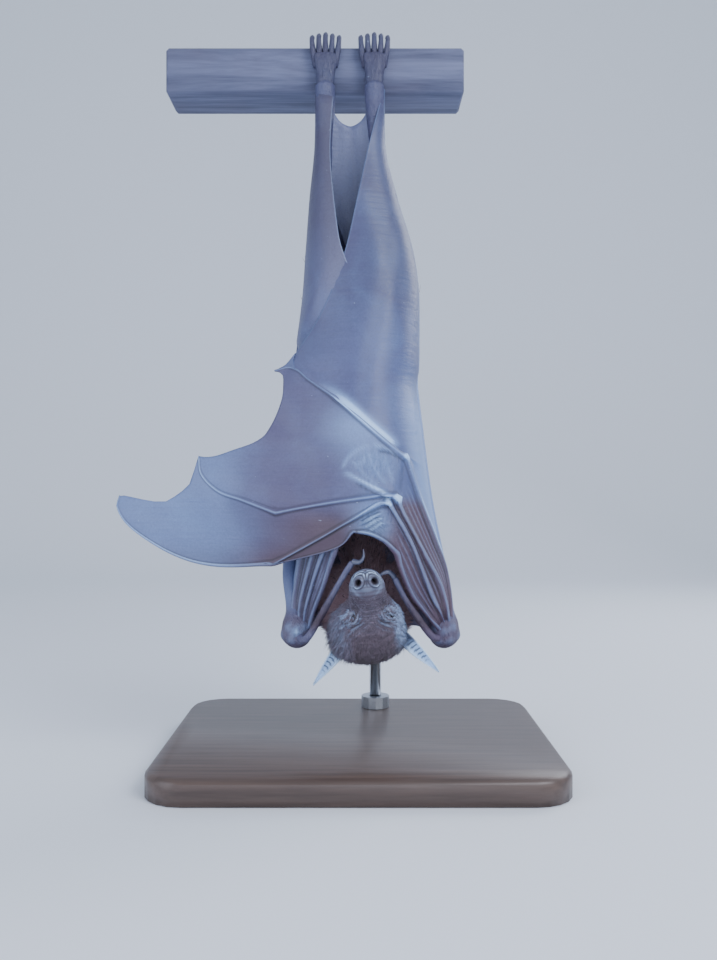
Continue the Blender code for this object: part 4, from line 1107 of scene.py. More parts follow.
def make_ear(side, finish):
    columns, rows = 24, 46
    column, share = evenly(columns)[:, None], evenly(rows)[None]
    wall = (0.9 + 0.5 * bell(np.minimum(column, 1 - column), 0.05) - 0.35 * share) * MM
    inner = column if side == "right" else 1 - column
    ribs = ease(0.2, 0.9, np.sin(share * EAR_RIPPLE + 1.2 * np.sin(4.1 * (column - 0.5))))
    ribs = ribs * band(0.12, 0.22, 0.60, 0.78, share) * band(0.04, 0.16, 0.52, 0.72, inner)
    low = 1 - ease(0.18, 0.36, share)
    shades = dict(pale=(1.0 - 0.6 * low) * (1 - 0.5 * ribs), dark=np.maximum(0.6 * ribs, 0.4 * low))
    return walled(f"ear_{side}", ear_points(side, columns, rows), wall, finish, **shades)


def toe_places(side):
    """For each toe: its root's x, its x over the beam, its spread and the lift of its arch."""
    ankle_x = LEG_ROUTE[side][0][0]
    for i in range(5):
        spread = (i - 2) * SIGN[side]
        yield ankle_x + 0.0038 * spread, ankle_x + 0.0054 * spread, spread, 0.0012 * math.cos(1.4 * (i - 2))


def toe_routes(side):
    """The toes climb the front of the beam and hook over its top."""
    front, top = BEAM_FRONT, BEAM_TOP
    for root, wide, spread, lift in toe_places(side):
        yield Route(
            (
                (root, front - 0.0050, 0.5500),
                (wide - 0.0006 * spread, front - 0.0058, 0.5600),
                (wide, front - 0.0054, top + 0.0035 + lift),
                (wide, front + 0.0008, top + 0.0090 + lift),
            )
        )


def claw_routes(side):
    """The claws carry on from the toes and hook down behind the beam's edge."""
    front, top = BEAM_FRONT, BEAM_TOP
    for _, wide, spread, lift in toe_places(side):
        yield Route(
            (
                (wide, front - 0.0002, top + 0.0091 + lift),
                (wide, front + 0.0085, top + 0.0088 + lift),
                (wide + 0.0004 * spread, front + 0.0130, top + 0.0050),
                (wide + 0.0004 * spread, front + 0.0146, top + 0.0012),
            )
        )


def make_foot(side, finish):
    ankle = array(LEG_ROUTE[side][0])
    low, high = ankle + array((0, 0, -0.004)), array((ankle[0], BEAM_FRONT - 0.0056, 0.5615))
    share = 0.5 - 0.5 * np.cos(np.pi * evenly(28))
    half_width, half_depth = 0.97 * SOLE(share)
    turn = turns(28)[:, None]
    rays = 0.5 * MM * np.cos(5 * turn) * band(0.4, 0.8, 0.93, 1.0, share)
    ring = stacked((half_width + rays) * np.cos(turn), (half_depth + rays) * np.sin(turn), 0.0)
    parts = [closed_grid(f"foot_{side}", low + (high - low) * share[:, None] + ring, finish)]

    def radius(share):
        joint = 0.35 * bell(share - 0.48, 0.10) + 0.30 * bell(share - 0.95, 0.12)
        return (2.45 - 0.70 * share + joint) * MM

    for number, toe in enumerate(toe_routes(side)):
        parts.append(closed_grid(f"toe_{side}_{number}", tube_points(toe, radius, 20, 10), finish))
    return parts


def make_leg(side, finish):
    def radius(share):
        tendons = 0.25 * np.sin(share * 30) * (1 - share)
        return LEG_RADIUS(share) - (0.9 + 0.2 * tendons) * MM + 2.2 * MM * bell(share - 0.06, 0.13)

    return closed_grid(f"leg_{side}", tube_points(Route(LEG_ROUTE[side]), radius, 44, 20), finish)


def neck_points(rows, sides):
    return tube_points(Route(NECK_ROUTE), lambda share: NECK_RADIUS(share) - UNDER_COAT, rows, sides)


# ---------------------------------------------------------------- materials


def linear(colour):
    parts = [int(colour[i : i + 2], 16) / 255 for i in (1, 3, 5)]
    return [part / 12.92 if part <= 0.04045 else ((part + 0.055) / 1.055) ** 2.4 for part in parts] + [1.0]


def start_material(name, roughness, **constants):
    """A Principled material and its tree; what is the same all over is set on the shader's own sockets."""
    finish = bpy.data.materials.new(name)
    finish.use_nodes = True
    sockets = finish.node_tree.nodes["Principled BSDF"].inputs
    for key, value in {"Roughness": roughness, **constants}.items():
        sockets[key.replace("_", " ")].default_value = value
    return finish, finish.node_tree


def finished(finish, **looks):
    """The material with what varies over the surface linked to its shader."""
    sockets = finish.node_tree.nodes["Principled BSDF"].inputs
    for key, value in looks.items():
        finish.node_tree.links.new(value, sockets[key.replace("_", " ")])
    return finish


def plain(name, colour, roughness, **constants):
    return start_material(name, roughness, Base_Color=linear(colour), **constants)[0]


def add(tree, kind, settings=None, **sockets):
    """Adds one node, with its settings, and sets or links its sockets, named by word or by place."""
    node = tree.nodes.new("ShaderNode" + kind)
    for name, value in (settings or {}).items():
        setattr(node, name, value)
    for name, value in sockets.items():
        socket = node.inputs[int(name[1:])] if name[1:].isdigit() else node.inputs[name.replace("_", " ")]
        if isinstance(value, bpy.types.NodeSocket):
            tree.links.new(value, socket)
        else:
            socket.default_value = value
    return node


def share_of(tree, name):
    return add(tree, "Attribute", {"attribute_name": name}).outputs["Fac"]


def mix(tree, share, first, second, how="MIX"):
    """First colour to second by a share."""
    node = add(tree, "Mix", {"data_type": "RGBA", "blend_type": how})
    for place, value in ((0, share), (6, first), (7, second)):
        if isinstance(value, bpy.types.NodeSocket):
            tree.links.new(value, node.inputs[place])
        elif isinstance(value, str):
            node.inputs[place].default_value = linear(value)
        else:
            node.inputs[place].default_value = value
    return node.outputs[2]


def product(tree, first, second):
    return add(tree, "Math", {"operation": "MULTIPLY"}, _0=first, _1=second).outputs[0]


def noise(tree, size, detail=4.0, roughness=0.55, stretch=(1, 1, 1), turn=(0, 0, 0), distortion=0.0):
    """Noise with lumps of about one size, in metres, read in the object's own coordinates."""
    place = add(tree, "TexCoord").outputs["Object"]
    place = add(tree, "Mapping", Vector=place, Scale=stretch, Rotation=turn).outputs[0]
    looks = {"Scale": 1 / size, "Detail": detail, "Roughness": roughness, "Distortion": distortion}
    return add(tree, "TexNoise", Vector=place, **looks).outputs["Fac"]


def ramp(tree, value, *stops):
    """A share from 0 to 1 read off stops of (value, share)."""
    node = add(tree, "ValToRGB", Fac=value)
    while len(node.color_ramp.elements) < len(stops):
        node.color_ramp.elements.new(0.5)
    for element, (at, level) in zip(node.color_ramp.elements, stops):
        element.position, element.color = at, (level, level, level, 1)
    return node.outputs["Color"]


def rising(tree, value, low, high):
    """A share that rises from 0 to 1 as the value goes from low to high."""
    return ramp(tree, value, (low, 0.0), (high, 1.0))


def bumped(tree, height, distance, strength, **over):
    return add(tree, "Bump", Height=height, Distance=distance, Strength=strength, **over).outputs["Normal"]


def make_wing_skin():
    """Bare wing skin: dark leather with a cool sheen and duskier patches, with painted shade beside its bones
    and in its creases and painted highlights on its ridges, knuckles and lit rim.
    """
    finish, tree = start_material("wing_leather", 0.40, Specular_IOR_Level=0.55)
    cloudy = noise(tree, 0.034, detail=4, distortion=0.5)
    grain = noise(tree, 0.0016, detail=5, roughness=0.7)
    colour = mix(tree, rising(tree, cloudy, 0.30, 0.72), "#4a527c", "#586b98")
    colour = mix(tree, share_of(tree, "dusk"), colour, "#5a4656")
    # pale: a few paler patches of skin, and mostly painted highlights; its highest shares turn to a painted
    # highlight colour
    pale = share_of(tree, "pale")
    colour = mix(tree, pale, colour, "#8fafe0")
    colour = mix(tree, rising(tree, pale, 0.55, 1.0), colour, "#b4d6fc")
    # dark: painted shade beside the bones, in creases and in hollows, and a darker tone over the legs and
    # feet
    colour = mix(tree, share_of(tree, "dark"), colour, "#1d1922")
    # Old nicks in the web, healed pale.
    nicks = ramp(tree, noise(tree, 0.0052, detail=2, stretch=(1, 1, 1.7)), (0.745, 0.0), (0.775, 0.35))
    colour = mix(tree, nicks, colour, "#a3b6d6")
    speckle = rising(tree, grain, 0.35, 0.66)
    colour = mix(tree, 0.16, colour, mix(tree, speckle, "#5b5b66", "#c9cfdb"), "OVERLAY")
    # Small dry patches scatter the light more than the rest of the skin.
    dryness = ramp(tree, grain, (0.30, 0.36), (0.75, 0.58))
    # The elastic strands of the web: faint ribs that run across it, and a fine pebbled grain over them.
    strands = noise(tree, 0.020, detail=3, stretch=(0.25, 1, 6.0), turn=(0, math.radians(28), 0))
    ribs = bumped(tree, strands, 0.0011, 0.35)
    pebbled = bumped(tree, grain, 0.00022, 0.5, Normal=ribs)
    # Loose skin round the joints gathers in small creases.
    slant = (0, math.radians(-32), 0)
    creases = noise(tree, 0.0042, 5, 0.6, stretch=(1.6, 1, 0.7), turn=slant, distortion=0.8)
    creased = product(tree, creases, share_of(tree, "crumple"))
    relief = bumped(tree, creased, 0.0030, 0.9, Normal=pebbled)
    return finished(finish, Base_Color=colour, Roughness=dryness, Normal=relief)


def make_face_skin():
    """Bare skin of the face: dusky, paler on the nose and lids, finely wrinkled, with painted highlights on
    its rims and folds and painted shade in its nostrils, creases and slits.
    """
    finish, tree = start_material("face_skin", 0.50, Specular_IOR_Level=0.45)
    blotches = noise(tree, 0.006, detail=4)
    grain = noise(tree, 0.0007, detail=4, roughness=0.65)
    colour = mix(tree, rising(tree, blotches, 0.30, 0.70), "#3f3742", "#544a58")
    pale = share_of(tree, "pale")
    colour = mix(tree, pale, colour, "#9fb7db")
    # The highest pale shares turn to a painted highlight colour.
    colour = mix(tree, rising(tree, pale, 0.55, 1.0), colour, "#c6e2ff")
    # dark: painted shade in the nostrils, creases and slits, and a darker tone on the ears' ribs and base and
    # under the fur
    colour = mix(tree, share_of(tree, "dark"), colour, "#141016")
    dryness = ramp(tree, grain, (0.3, 0.42), (0.7, 0.62))
    wrinkles = noise(tree, 0.0030, detail=4, stretch=(0.6, 1, 2.2), distortion=0.6)
    relief = bumped(tree, grain, 0.00025, 0.7, Normal=bumped(tree, wrinkles, 0.0007, 0.6))
    return finished(finish, Base_Color=colour, Roughness=dryness, Normal=relief)


# ---------------------------------------------------------------- the skin

wing_skin = make_wing_skin()
face_skin = make_face_skin()


def painted_light_toward_right(x):
    """Painted shade: the wrap is painted darker toward the bat's left, as if lit from its right."""
    return ease(-0.045, 0.035, x)


def hand_shades(side, points, ridges, strands, beside):
    x, height = points[..., 0], points[..., 2]
    line = np.clip(ridges, 0, 1)
    if side == "left":
        # Painted highlights along the bones and the palm's cords, and painted shade beside the bones.
        pale = 0.14 + 0.26 * line**5 + 0.20 * strands**2
        return dict(dusk=1.0 - 0.1 * line, pale=pale, dark=0.60 * beside, crumple=0.55)
    palm = ease(0.008, 0.028, x) * (1 - ease(0.198, 0.210, height))
    # Two paler, crumpled patches of web, one above the knuckles and one below them.
    crumpled_patch = bell(x - 0.012, 0.017) * bell(height - 0.232, 0.014)
    gathered = bell(x - 0.010, 0.013) * bell(height - 0.190, 0.013)
    lower = ease(-0.090, -0.010, x) * (1 - ease(0.186, 0.206, height)) * (1 - palm)
    tip = 1 - ease(-0.115, -0.060, x)
    low_edge = bell(height - 0.160, 0.010) * (x < 0)
    # dusk carries painted shade toward the bat's left
    dusk = 0.18 + 0.30 * (1 - painted_light_toward_right(x)) * (1 - tip) + 0.65 * lower + 0.95 * palm + 0.35 * low_edge
    bright = 0.30 * tip + 0.50 * bell(x + 0.002, 0.022) * bell(height - 0.258, 0.018)
    # dark starts with the painted shade beside the bones.
    pale, dark = 0 * x, 0.60 * beside + 0.30 * lower + 0.15 * low_edge
    # A painted highlight along each raised fold, and painted shade along each crease.
    for route, width, rise in KNUCKLE_FOLDS:
        away, along = near_route(points, rounded_route(route))
        shown = bell(away, width) * band(0.0, 0.15, 0.85, 1.0, along)
        if rise > 0:
            pale = np.maximum(pale, rise / (1.7 * MM) * shown * (1 - 0.55 * along))
        else:
            dark = np.maximum(dark, -rise / (1.2 * MM) * shown)
    # A painted highlight on each knuckle.
    for (knuckle_x, knuckle_height), reach, _ in KNUCKLES:
        pale = np.maximum(pale, 0.9 * bell(np.hypot(x - knuckle_x, height - knuckle_height), 1.2 * reach))
    # Painted highlights along the bones' crests and, below, on the palm's cords.
    pale = bright + pale + (0.45 - 0.10 * palm) * line**6
    return dict(
        dusk=dusk - 0.20 * crumpled_patch - 0.85 * gathered - 0.2 * line * palm,
        pale=pale + 0.34 * crumpled_patch + 0.62 * gathered + 0.22 * strands**2,
        dark=dark,
        crumple=0.95 * crumpled_patch + 0.8 * gathered + 0.45 * palm + 0.05,
    )


def arm_shades(side, points, ridges):
    x, height = points[..., 0], points[..., 2]
    left, right, _ = WRAP(height)
    line = np.clip(ridges, 0, 1)
    # Painted shade: darker toward the bat's left
    dusk = 0.36 - 0.30 * painted_light_toward_right(x)
    if side == "left":
        lap = ease(0.345, 0.375, height) * ease(-0.030, -0.020, x) * (points[..., 1] < 0.004)
        low, high = 1 - ease(0.20, 0.26, height), ease(0.33, 0.46, height)
        # The pale share includes a painted highlight along the fifth finger's ridge.
        pale = 0.16 * low + 0.12 * lap + 0.3 * line**3 + 0.06
        dusk = dusk + 0.45 * lap + 0.35 * low + 0.25 * high
        return dict(dusk=dusk, pale=pale, dark=0.42 * high, crumple=0.1)
    across = (x - (left + right) / 2) / ((right - left) / 2)
    low = 1 - ease(0.26, 0.31, height)
    # Painted rim light: pale along the sheet's lit right edge, widest low down.
    rim = 0.58 * ease(0.50, 0.90, across) * low + 0.30 * ease(0.94, 1.0, across)
    panel = (1 - ease(0.18, 0.225, height)) * ease(0.0, 0.02, x) * (1 - ease(0.80, 0.97, across))
    high = ease(0.31, 0.40, height) * ease(-0.1, 0.4, across)
    dusk = dusk + 0.05 * high + 0.50 * panel + 0.15 * ease(0.495, 0.52, height)
    # Painted sheen: a pale band along the fold just above the fifth finger, where light catches it.
    away, along = near_route(points + array((0, 0, 0.7 * MM)), rounded_route(SHEET_FOLDS[0][0]))
    sheen = bell(away, 4.0 * MM) * band(0.05, 0.45, 0.9, 1.0, along)
    dark = 0.12 * high + 0.20 * ease(0.30, 0.38, height)
    # The pale share adds a painted highlight along the fifth finger's ridge.
    return dict(dusk=dusk, pale=rim + 0.30 * line**4 + sheen, dark=dark, crumple=0.12 * panel)


# Ridges and creases of the right wing's face: route of x and height, half width, height.
KNUCKLE_FOLDS = (
    (((0.0225, 0.2085), (0.0096, 0.2150), (-0.0025, 0.2214), (-0.0118, 0.2266)), 1.6 * MM, 1.6 * MM),
    (((0.0210, 0.2062), (0.0080, 0.2124), (-0.0030, 0.2184)), 1.0 * MM, -0.7 * MM),
    (((-0.0118, 0.2270), (-0.0083, 0.2344), (-0.0004, 0.2416), (0.0097, 0.2445)), 1.3 * MM, 0.7 * MM),
    (((0.0097, 0.2450), (0.0190, 0.2425), (0.0290, 0.2365)), 1.3 * MM, 0.7 * MM),
    (((0.0130, 0.2405), (0.0215, 0.2395), (0.0300, 0.2350)), 0.9 * MM, -0.8 * MM),
    (((0.0150, 0.2140), (0.0040, 0.2240), (-0.0040, 0.2330)), 1.0 * MM, 0.5 * MM),
    (((-0.0060, 0.2330), (0.0020, 0.2320), (0.0060, 0.2385), (0.0120, 0.2360)), 0.8 * MM, 0.6 * MM),
    (((0.0200, 0.2160), (0.0120, 0.2270), (0.0060, 0.2400)), 1.0 * MM, 0.5 * MM),
    (((0.0250, 0.2170), (0.0215, 0.2270), (0.0180, 0.2390)), 1.0 * MM, 0.45 * MM),
    (((0.0290, 0.2100), (0.0310, 0.2230), (0.0320, 0.2330)), 1.2 * MM, -0.35 * MM),
    (((0.0170, 0.1990), (0.0080, 0.1946), (-0.0005, 0.1895)), 0.75 * MM, -0.9 * MM),
    (((0.0175, 0.1960), (0.0090, 0.1915), (0.0010, 0.1867)), 0.70 * MM, -0.9 * MM),
    (((0.0180, 0.1928), (0.0110, 0.1885), (0.0040, 0.1842)), 0.70 * MM, -0.8 * MM),
    (((0.0185, 0.1895), (0.0130, 0.1855), (0.0080, 0.1820)), 0.65 * MM, -0.7 * MM),
    (((0.0190, 0.1860), (0.0155, 0.1828), (0.0120, 0.1800)), 0.65 * MM, -0.6 * MM),
    (((0.0172, 0.1975), (0.0085, 0.1930), (0.0000, 0.1881)), 0.6 * MM, 0.6 * MM),
    (((0.0178, 0.1943), (0.0100, 0.1899), (0.0025, 0.1854)), 0.6 * MM, 0.6 * MM),
    (((0.0183, 0.1911), (0.0120, 0.1869), (0.0060, 0.1830)), 0.6 * MM, 0.6 * MM),
)
SHEET_FOLDS = (
    (((-0.0351, 0.2962), (-0.0149, 0.2816), (0.0070, 0.2616), (0.0290, 0.2425)), 2.4 * MM, 0.9 * MM),
    (((0.0380, 0.2900), (0.0420, 0.2500), (0.0500, 0.1900)), 3.0 * MM, 0.5 * MM),
)
# The fingers' knuckles, raised and given a painted highlight: place, reach, height.
KNUCKLES = (
    ((0.0266, 0.2066), 1.9 * MM, 2.6 * MM),
    ((0.0203, 0.2060), 1.9 * MM, 2.4 * MM),
    ((0.0334, 0.2368), 1.6 * MM, 1.4 * MM),
)


def knuckled(points):
    normals = front_normals(points)
    for (x, height), reach, rise in KNUCKLES:
        away = np.hypot(points[..., 0] - x, points[..., 2] - height)
        points = points + (rise * bell(away, reach))[..., None] * normals
    return points


def make_wing(side):
    right = side == "right"
    rows, columns = (112, (28, 18, 40)) if right else (56, (14, 14, 14))
    points, walls, lines = hand_points(side, rows, columns)
    shades = hand_shades(side, points, *lines)
    if right:
        points = knuckled(folded(points, KNUCKLE_FOLDS))
    points[..., 1] += waves(points, ((0.052, 0.5 * MM, 1, 0.5), (0.031, 0.25 * MM, 0.3, 1)))
    made = [walled(f"hand_{side}", points, walls, wing_skin, **shades)]
    points, walls, ridges = arm_points(side, 110 if right else 70, 40 if right else 24, 12)
    shades = arm_shades(side, points, ridges)
    if right:
        points = folded(points, SHEET_FOLDS)
    points[..., 1] += waves(points, ((0.045, 0.4 * MM, 1, 0.3), (0.028, 0.2 * MM, 1, -0.2)))
    made.append(walled(f"arm_{side}", points, walls, wing_skin, **shades))
    if right:
        made.append(fifth_tip_patch(wing_skin, dusk=0.3, pale=0.1, dark=0.0, crumple=0.05))
    forearm = make_forearm(side, wing_skin)
    places = vertex_values(forearm, "co")
    knob = 1 - ease(0.112, 0.130, places[:, 2])
    dusk = (0.10 if right else 0.45) + (0.75 if right else 0.50) * knob
    # Painted light: the right forearm, on the lit side, is painted paler than the left.
    pale = (0.46 if right else 0.22) * (1 - knob)
    if not right:
        # A painted highlight at the front of the left wrist's knob.
        away = np.hypot(places[:, 0] - WRIST_X[side], places[:, 2] - WRIST_HEIGHT)
        pale = pale + (0.05 + 0.50 * bell(away, 4.5 * MM)) * knob
    # A painted highlight on each bump of the wrist, and painted shade in each dent.
    for place, reach, rise in wrist_bumps(side):
        pale = pale + (0.45 if rise > 0 else -0.3) * bell(length_of(places - place), reach)
    made.append(shade(forearm, dusk=dusk, pale=pale, dark=0.12 * knob, crumple=0.95 * knob))
    thumb = make_thumb(side, wing_skin)
    height = vertex_values(thumb, "co")[:, 2]
    # Painted shade over the thumb's root half, which lies in the hollow beside the head; the tip is paler.
    far, near = ease(0.112, 0.150, height), 1 - ease(0.106, 0.116, height)
    pale, dark = 0.22 * far + (0.0 if right else 0.12) * near, 0.50 * (1 - far) * (1 - near)
    made.append(shade(thumb, dusk=1.0 - 0.2 * near, pale=pale, dark=dark, crumple=0.8))
    points = gusset_points(side, 24, 16)
    shades = dict(dusk=1.0, dark=0.0, pale=0.14, crumple=0.5)
    made.append(walled(f"gusset_{side}", points, np.full(points.shape[:2], WEB), wing_skin, **shades))
    return made


def under_fur(name, points, dark):
    return shade(closed_grid(name, points, face_skin), dark=dark, pale=0.0)


parts = []
for side in SIGN:
    parts.extend(make_wing(side))
    parts.append(under_fur(f"upper_arm_{side}", upper_arm_points(side, 18, 14), 0.5))
    parts.append(shade(make_leg(side, wing_skin), dusk=0.35, pale=0.0, dark=0.28, crumple=0.5))
    parts.append(make_ear(side, face_skin))
    for piece in make_foot(side, wing_skin):
        parts.append(shade(piece, dusk=0.35, pale=0.0, dark=0.50, crumple=0.7))
    parts.append(under_fur(f"ruff_{side}", ruff_points(side, 30, 24, UNDER_RUFF), 0.3))
parts.append(make_tail_membrane(wing_skin, dusk=0.7, pale=0.22, dark=0.0, crumple=0.15))
parts.append(under_fur("trunk", trunk_points(56, 70, UNDER_COAT), 0.5))
parts.append(under_fur("neck", neck_points(24, 28), 0.6))
points, pale, dark = head_points(192, 156)
parts.append(closed_grid("head", points, face_skin, pale=pale, dark=dark))
skin = join("skin", parts)

flesh = [
    name
    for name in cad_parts
    if not name.startswith(("stand_", "perch_", "eye_")) and "claw" not in name
]
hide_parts(*flesh)
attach(skin, "root")

# ---------------------------------------------------------------- the coat


def make_fur():
    """Fur: dark at the root, with some locks greyer at the tip, and a soft sheen along the hair."""
    looks = {"Specular_IOR_Level": 0.35, "Sheen_Weight": 0.12, "Sheen_Roughness": 0.5}
    finish, tree = start_material("fur", 0.55, **looks)
    dark = mix(tree, share_of(tree, "tone"), "#3a2e37", "#75616d")
    colour = mix(tree, product(tree, share_of(tree, "along"), 0.55), dark, "#8f7f92")
    colour = mix(tree, share_of(tree, "pale"), colour, "#abc5ee")
    colour = mix(tree, share_of(tree, "russet"), colour, "#a58288")
    return finished(finish, Base_Color=colour)


fur = make_fur()
UP = (0, 0, 1.0)


def scattered(points, density, count):
    """Roots spread over a grid of skin: their places and normals, and their shares of the grid."""
    corner, beside, above, far = points[:-1, :-1], points[1:, :-1], points[:-1, 1:], points[1:, 1:]
    normals = np.cross(beside - corner, above - corner)
    weights = length_of(normals) * (density[:-1, :-1] + density[1:, 1:])
    chosen = RANDOM.choice(weights.size, count, p=weights.ravel() / weights.sum())
    i, j = np.unravel_index(chosen, weights.shape)
    s, t = RANDOM.random((2, count, 1))
    roots = (1 - s) * (1 - t) * corner[i, j] + s * (1 - t) * beside[i, j]
    roots = roots + (1 - s) * t * above[i, j] + s * t * far[i, j]
    middles = points[:-1].mean(axis=0)
    normals = unit(normals[i, j])
    outward = roots - middles[j]
    normals = np.where(((normals * outward).sum(-1) < 0)[:, None], -normals, normals)
    shares = np.stack([(i + s[:, 0]) / weights.shape[0], (j + t[:, 0]) / weights.shape[1]], axis=-1)
    return roots, normals, shares


def uneven(places, size, seed):
    """Smooth unevenness from -1 to 1 over places in space, with lumps of about one size."""
    turns = np.random.default_rng(seed).normal(size=(5, 3))
    phases = places @ unit(turns).T * (math.tau / size) + np.arange(5) * 1.9
    return np.sin(phases + 0.9 * np.sin(phases[:, ::-1] * 0.7)).mean(axis=1) * 1.6


SHORT, LONG = (0.0, 0.5, 1.0), (0.0, 0.35, 0.7, 1.0)  # the steps in which a lock is made
CURL = 0.25  # how far locks bend aside, as a share of their length
ROOT_DEPTH = 0.25 * MM
PATCH = 0.003  # the size of one lock's patch on the UV map


def coat(name, roots, normals, lie, length, width, rise, shares, steps, tone, **shades):
    """One piece of fur: a mesh of thin three-sided locks that leave the skin and lie back along it."""
    count = len(roots)
    lie = unit(lie - (lie * normals).sum(-1, keepdims=True) * normals)
    side = np.cross(normals, lie)
    swing = 0.28 * uneven(roots, 0.011, 3) + 0.16 * uneven(roots, 0.004, 4) + RANDOM.normal(0, 0.10, count)
    lie = unit(lie + swing[:, None] * side)
    side = np.cross(normals, lie)
    length = length * (1 + 0.18 * uneven(roots, 0.006, 5)) * RANDOM.uniform(0.75, 1.2, count)
    rise = rise * (1 + 0.25 * uneven(roots, 0.007, 6)) * RANDOM.uniform(0.6, 1.35, count)
    bent = CURL * (0.6 * uneven(roots, 0.009, 8) + RANDOM.normal(0, 0.5, count))
    steps = array(steps)

    def by_step(values, steps):
        return values[:, None, None] * steps[:, None]

    lie, side, normals = lie[:, None], side[:, None], normals[:, None]
    middles = roots[:, None] - ROOT_DEPTH * normals + by_step(length, steps) * lie
    middles = middles + by_step(rise * length, steps * (1.45 - 0.75 * steps)) * normals
    middles = middles + by_step(bent * length, steps**2) * side
    reach = by_step(0.5 * width, 1 - steps**1.6)
    corners = (middles - reach * side, middles + 0.55 * reach * normals, middles + reach * side)
    rings = np.stack(corners, axis=2)
    levels = len(steps) - 1
    places = np.concatenate([rings[:, :levels].reshape(count, levels * 3, 3), middles[:, -1:]], axis=1)
    faces = [(0, 2, 1)]
    for level in range(levels - 1):
        for k in range(3):
            a, b = 3 * level + k, 3 * level + (k + 1) % 3
            faces += [(a, b, b + 3), (a, b + 3, a + 3)]
    faces += [(3 * levels - 3 + k, 3 * levels - 3 + (k + 1) % 3, 3 * levels) for k in range(3)]
    each = places.shape[1]
    corners = (np.arange(count)[:, None, None] * each + np.array(faces)[None]).ravel()
    data = bpy.data.meshes.new(name)
    data.vertices.add(count * each)
    data.vertices.foreach_set("co", places.ravel())
    data.loops.add(len(corners))
    data.loops.foreach_set("vertex_index", corners)
    data.polygons.add(len(corners) // 3)
    data.polygons.foreach_set("loop_start", np.arange(0, len(corners), 3))
    patch = data.uv_layers.new(name="OFBake")
    level_of = np.append(np.repeat(np.arange(levels), 3), levels)
    sides_of = np.append(np.tile([0.0, 0.5, 1.0], levels), 0.5)
    local = PATCH * (np.stack([sides_of, steps[level_of]], axis=-1) - 0.5)
    flat = (shares[:, None] + local[None]).reshape(-1, 2)
    patch.data.foreach_set("uv", flat[corners].ravel())
    data.update()
    data.validate()
    data.shade_smooth()
    data.materials.append(fur)
    made = bpy.data.objects.new(name, data)
    bpy.context.collection.objects.link(made)
    tone = np.clip(tone + 0.22 * uneven(roots, 0.005, 9) + RANDOM.normal(0, 0.22, count), 0, 1)
    shade(made, along=np.tile(steps[level_of], count))
    for key, values in {"tone": tone, **shades}.items():
        shade(made, **{key: np.repeat(np.broadcast_to(values, count), each)})
    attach(made, "root")
    return made


def face_fur(places):
    """How much hair grows at places on the head, how long it is, and how pale."""
    behind, outward, up = by_head(places)
    right = ease(-0.004, 0.004, outward)
    outward = np.abs(outward)
    from_eye = stacked(behind, outward, up) - EYE_PLACE
    eye_distance = length_of(from_eye)
    run, _, out, bow = by_slit(from_eye)
    on_lid = bell(eye_distance, 8.0 * MM) * ease(-0.002, 0.002, out)
    nose = 1 - ease(0.004, 0.017, behind - 0.4 * np.maximum(0, -up))
    muzzle = (1 - ease(0.026, 0.040, behind)) * ease(-0.004, 0.004, up)
    open_skin = np.clip(1.15 * on_lid, 0, 1) * (1 - 0.85 * ease(0.0006, 0.0014, np.abs(bow)))
    growth = (1 - nose) * (1 - open_skin) * (1 + 0.5 * muzzle)
    longest = 3.0 + 3.6 * ease(0.036, 0.062, behind)
    longest = longest + 2.4 * ease(0.012, 0.026, outward) * ease(0.02, 0.04, behind)
    longest = longest + 2.0 * ease(0.0, -0.012, up) * ease(0.01, 0.03, behind)
    shortest = 1.7 + 2.0 * ease(0.010, 0.032, behind)
    length = (shortest * muzzle + longest * (1 - muzzle)) * (1 - 0.40 * bell(eye_distance, 11 * MM))
    # A pale streak of fur on each cheek; the right one is painted much paler, as painted light from the
    # right.
    cheek_streak_and_right_light = (0.26 + 0.94 * right) * bell(behind - 0.044, 0.018 + 0.004 * right)
    pale = cheek_streak_and_right_light * ease(0.013, 0.020, outward) + 0.10 * muzzle
    pale = pale * (1 - on_lid) + 1.4 * ease(-0.2, 0.3, lid_streaks(run, bow)) * on_lid
    return growth, length * MM, pale


def head_coat(name, count, width):
    points = head_points(150, 160)[0]
    growth, _, _ = face_fur(points)
    roots, normals, shares = scattered(points, growth, count)
    _, length, pale = face_fur(roots)
    behind, outward, up = by_head(roots)
    side, outward = np.sign(outward)[:, None], np.abs(outward)
    lie = BACK + 0.25 * side * OUT * ease(0.010, 0.022, outward)[:, None]
    # Over the lids the hair lies along the slits.
    on_lid = bell(length_of(stacked(behind, outward, up) - EYE_PLACE), 9.0 * MM)[:, None]
    slit = SLIT[0] * BACK + SLIT[1] * side * OUT + SLIT[2] * TOP
    lie = lie * (1 - on_lid) + 1.5 * slit * on_lid
    lie = lie + 0.20 * TOP * (ease(0.0, -0.010, up) - 0.4 * ease(0.004, 0.012, up))[:, None]
    ruff = ease(0.010, 0.020, -side[:, 0] * outward) * band(0.018, 0.030, 0.055, 0.070, behind)
    rise = 0.16 + 0.10 * ease(0.030, 0.055, behind) + 0.06 * ease(0.018, 0.026, outward) + 0.12 * ruff
    length = length * (1 + 0.5 * ruff)
    width = width * (0.55 + 0.45 * ease(0.002, 0.006, length))
    pale = pale * RANDOM.random(count) * 1.6
    tone = 0.46 - 0.08 * ease(0.04, 0.06, behind)
    return coat(name, roots, normals, lie, length, width, rise, shares, SHORT, tone, pale=pale, russet=0.0)


def mantle(places):
    """The russet cape over the nape and shoulders."""
    return 0.55 * ease(-0.012, 0.012, places[:, 1]) * (1 - ease(0.19, 0.27, places[:, 2]))


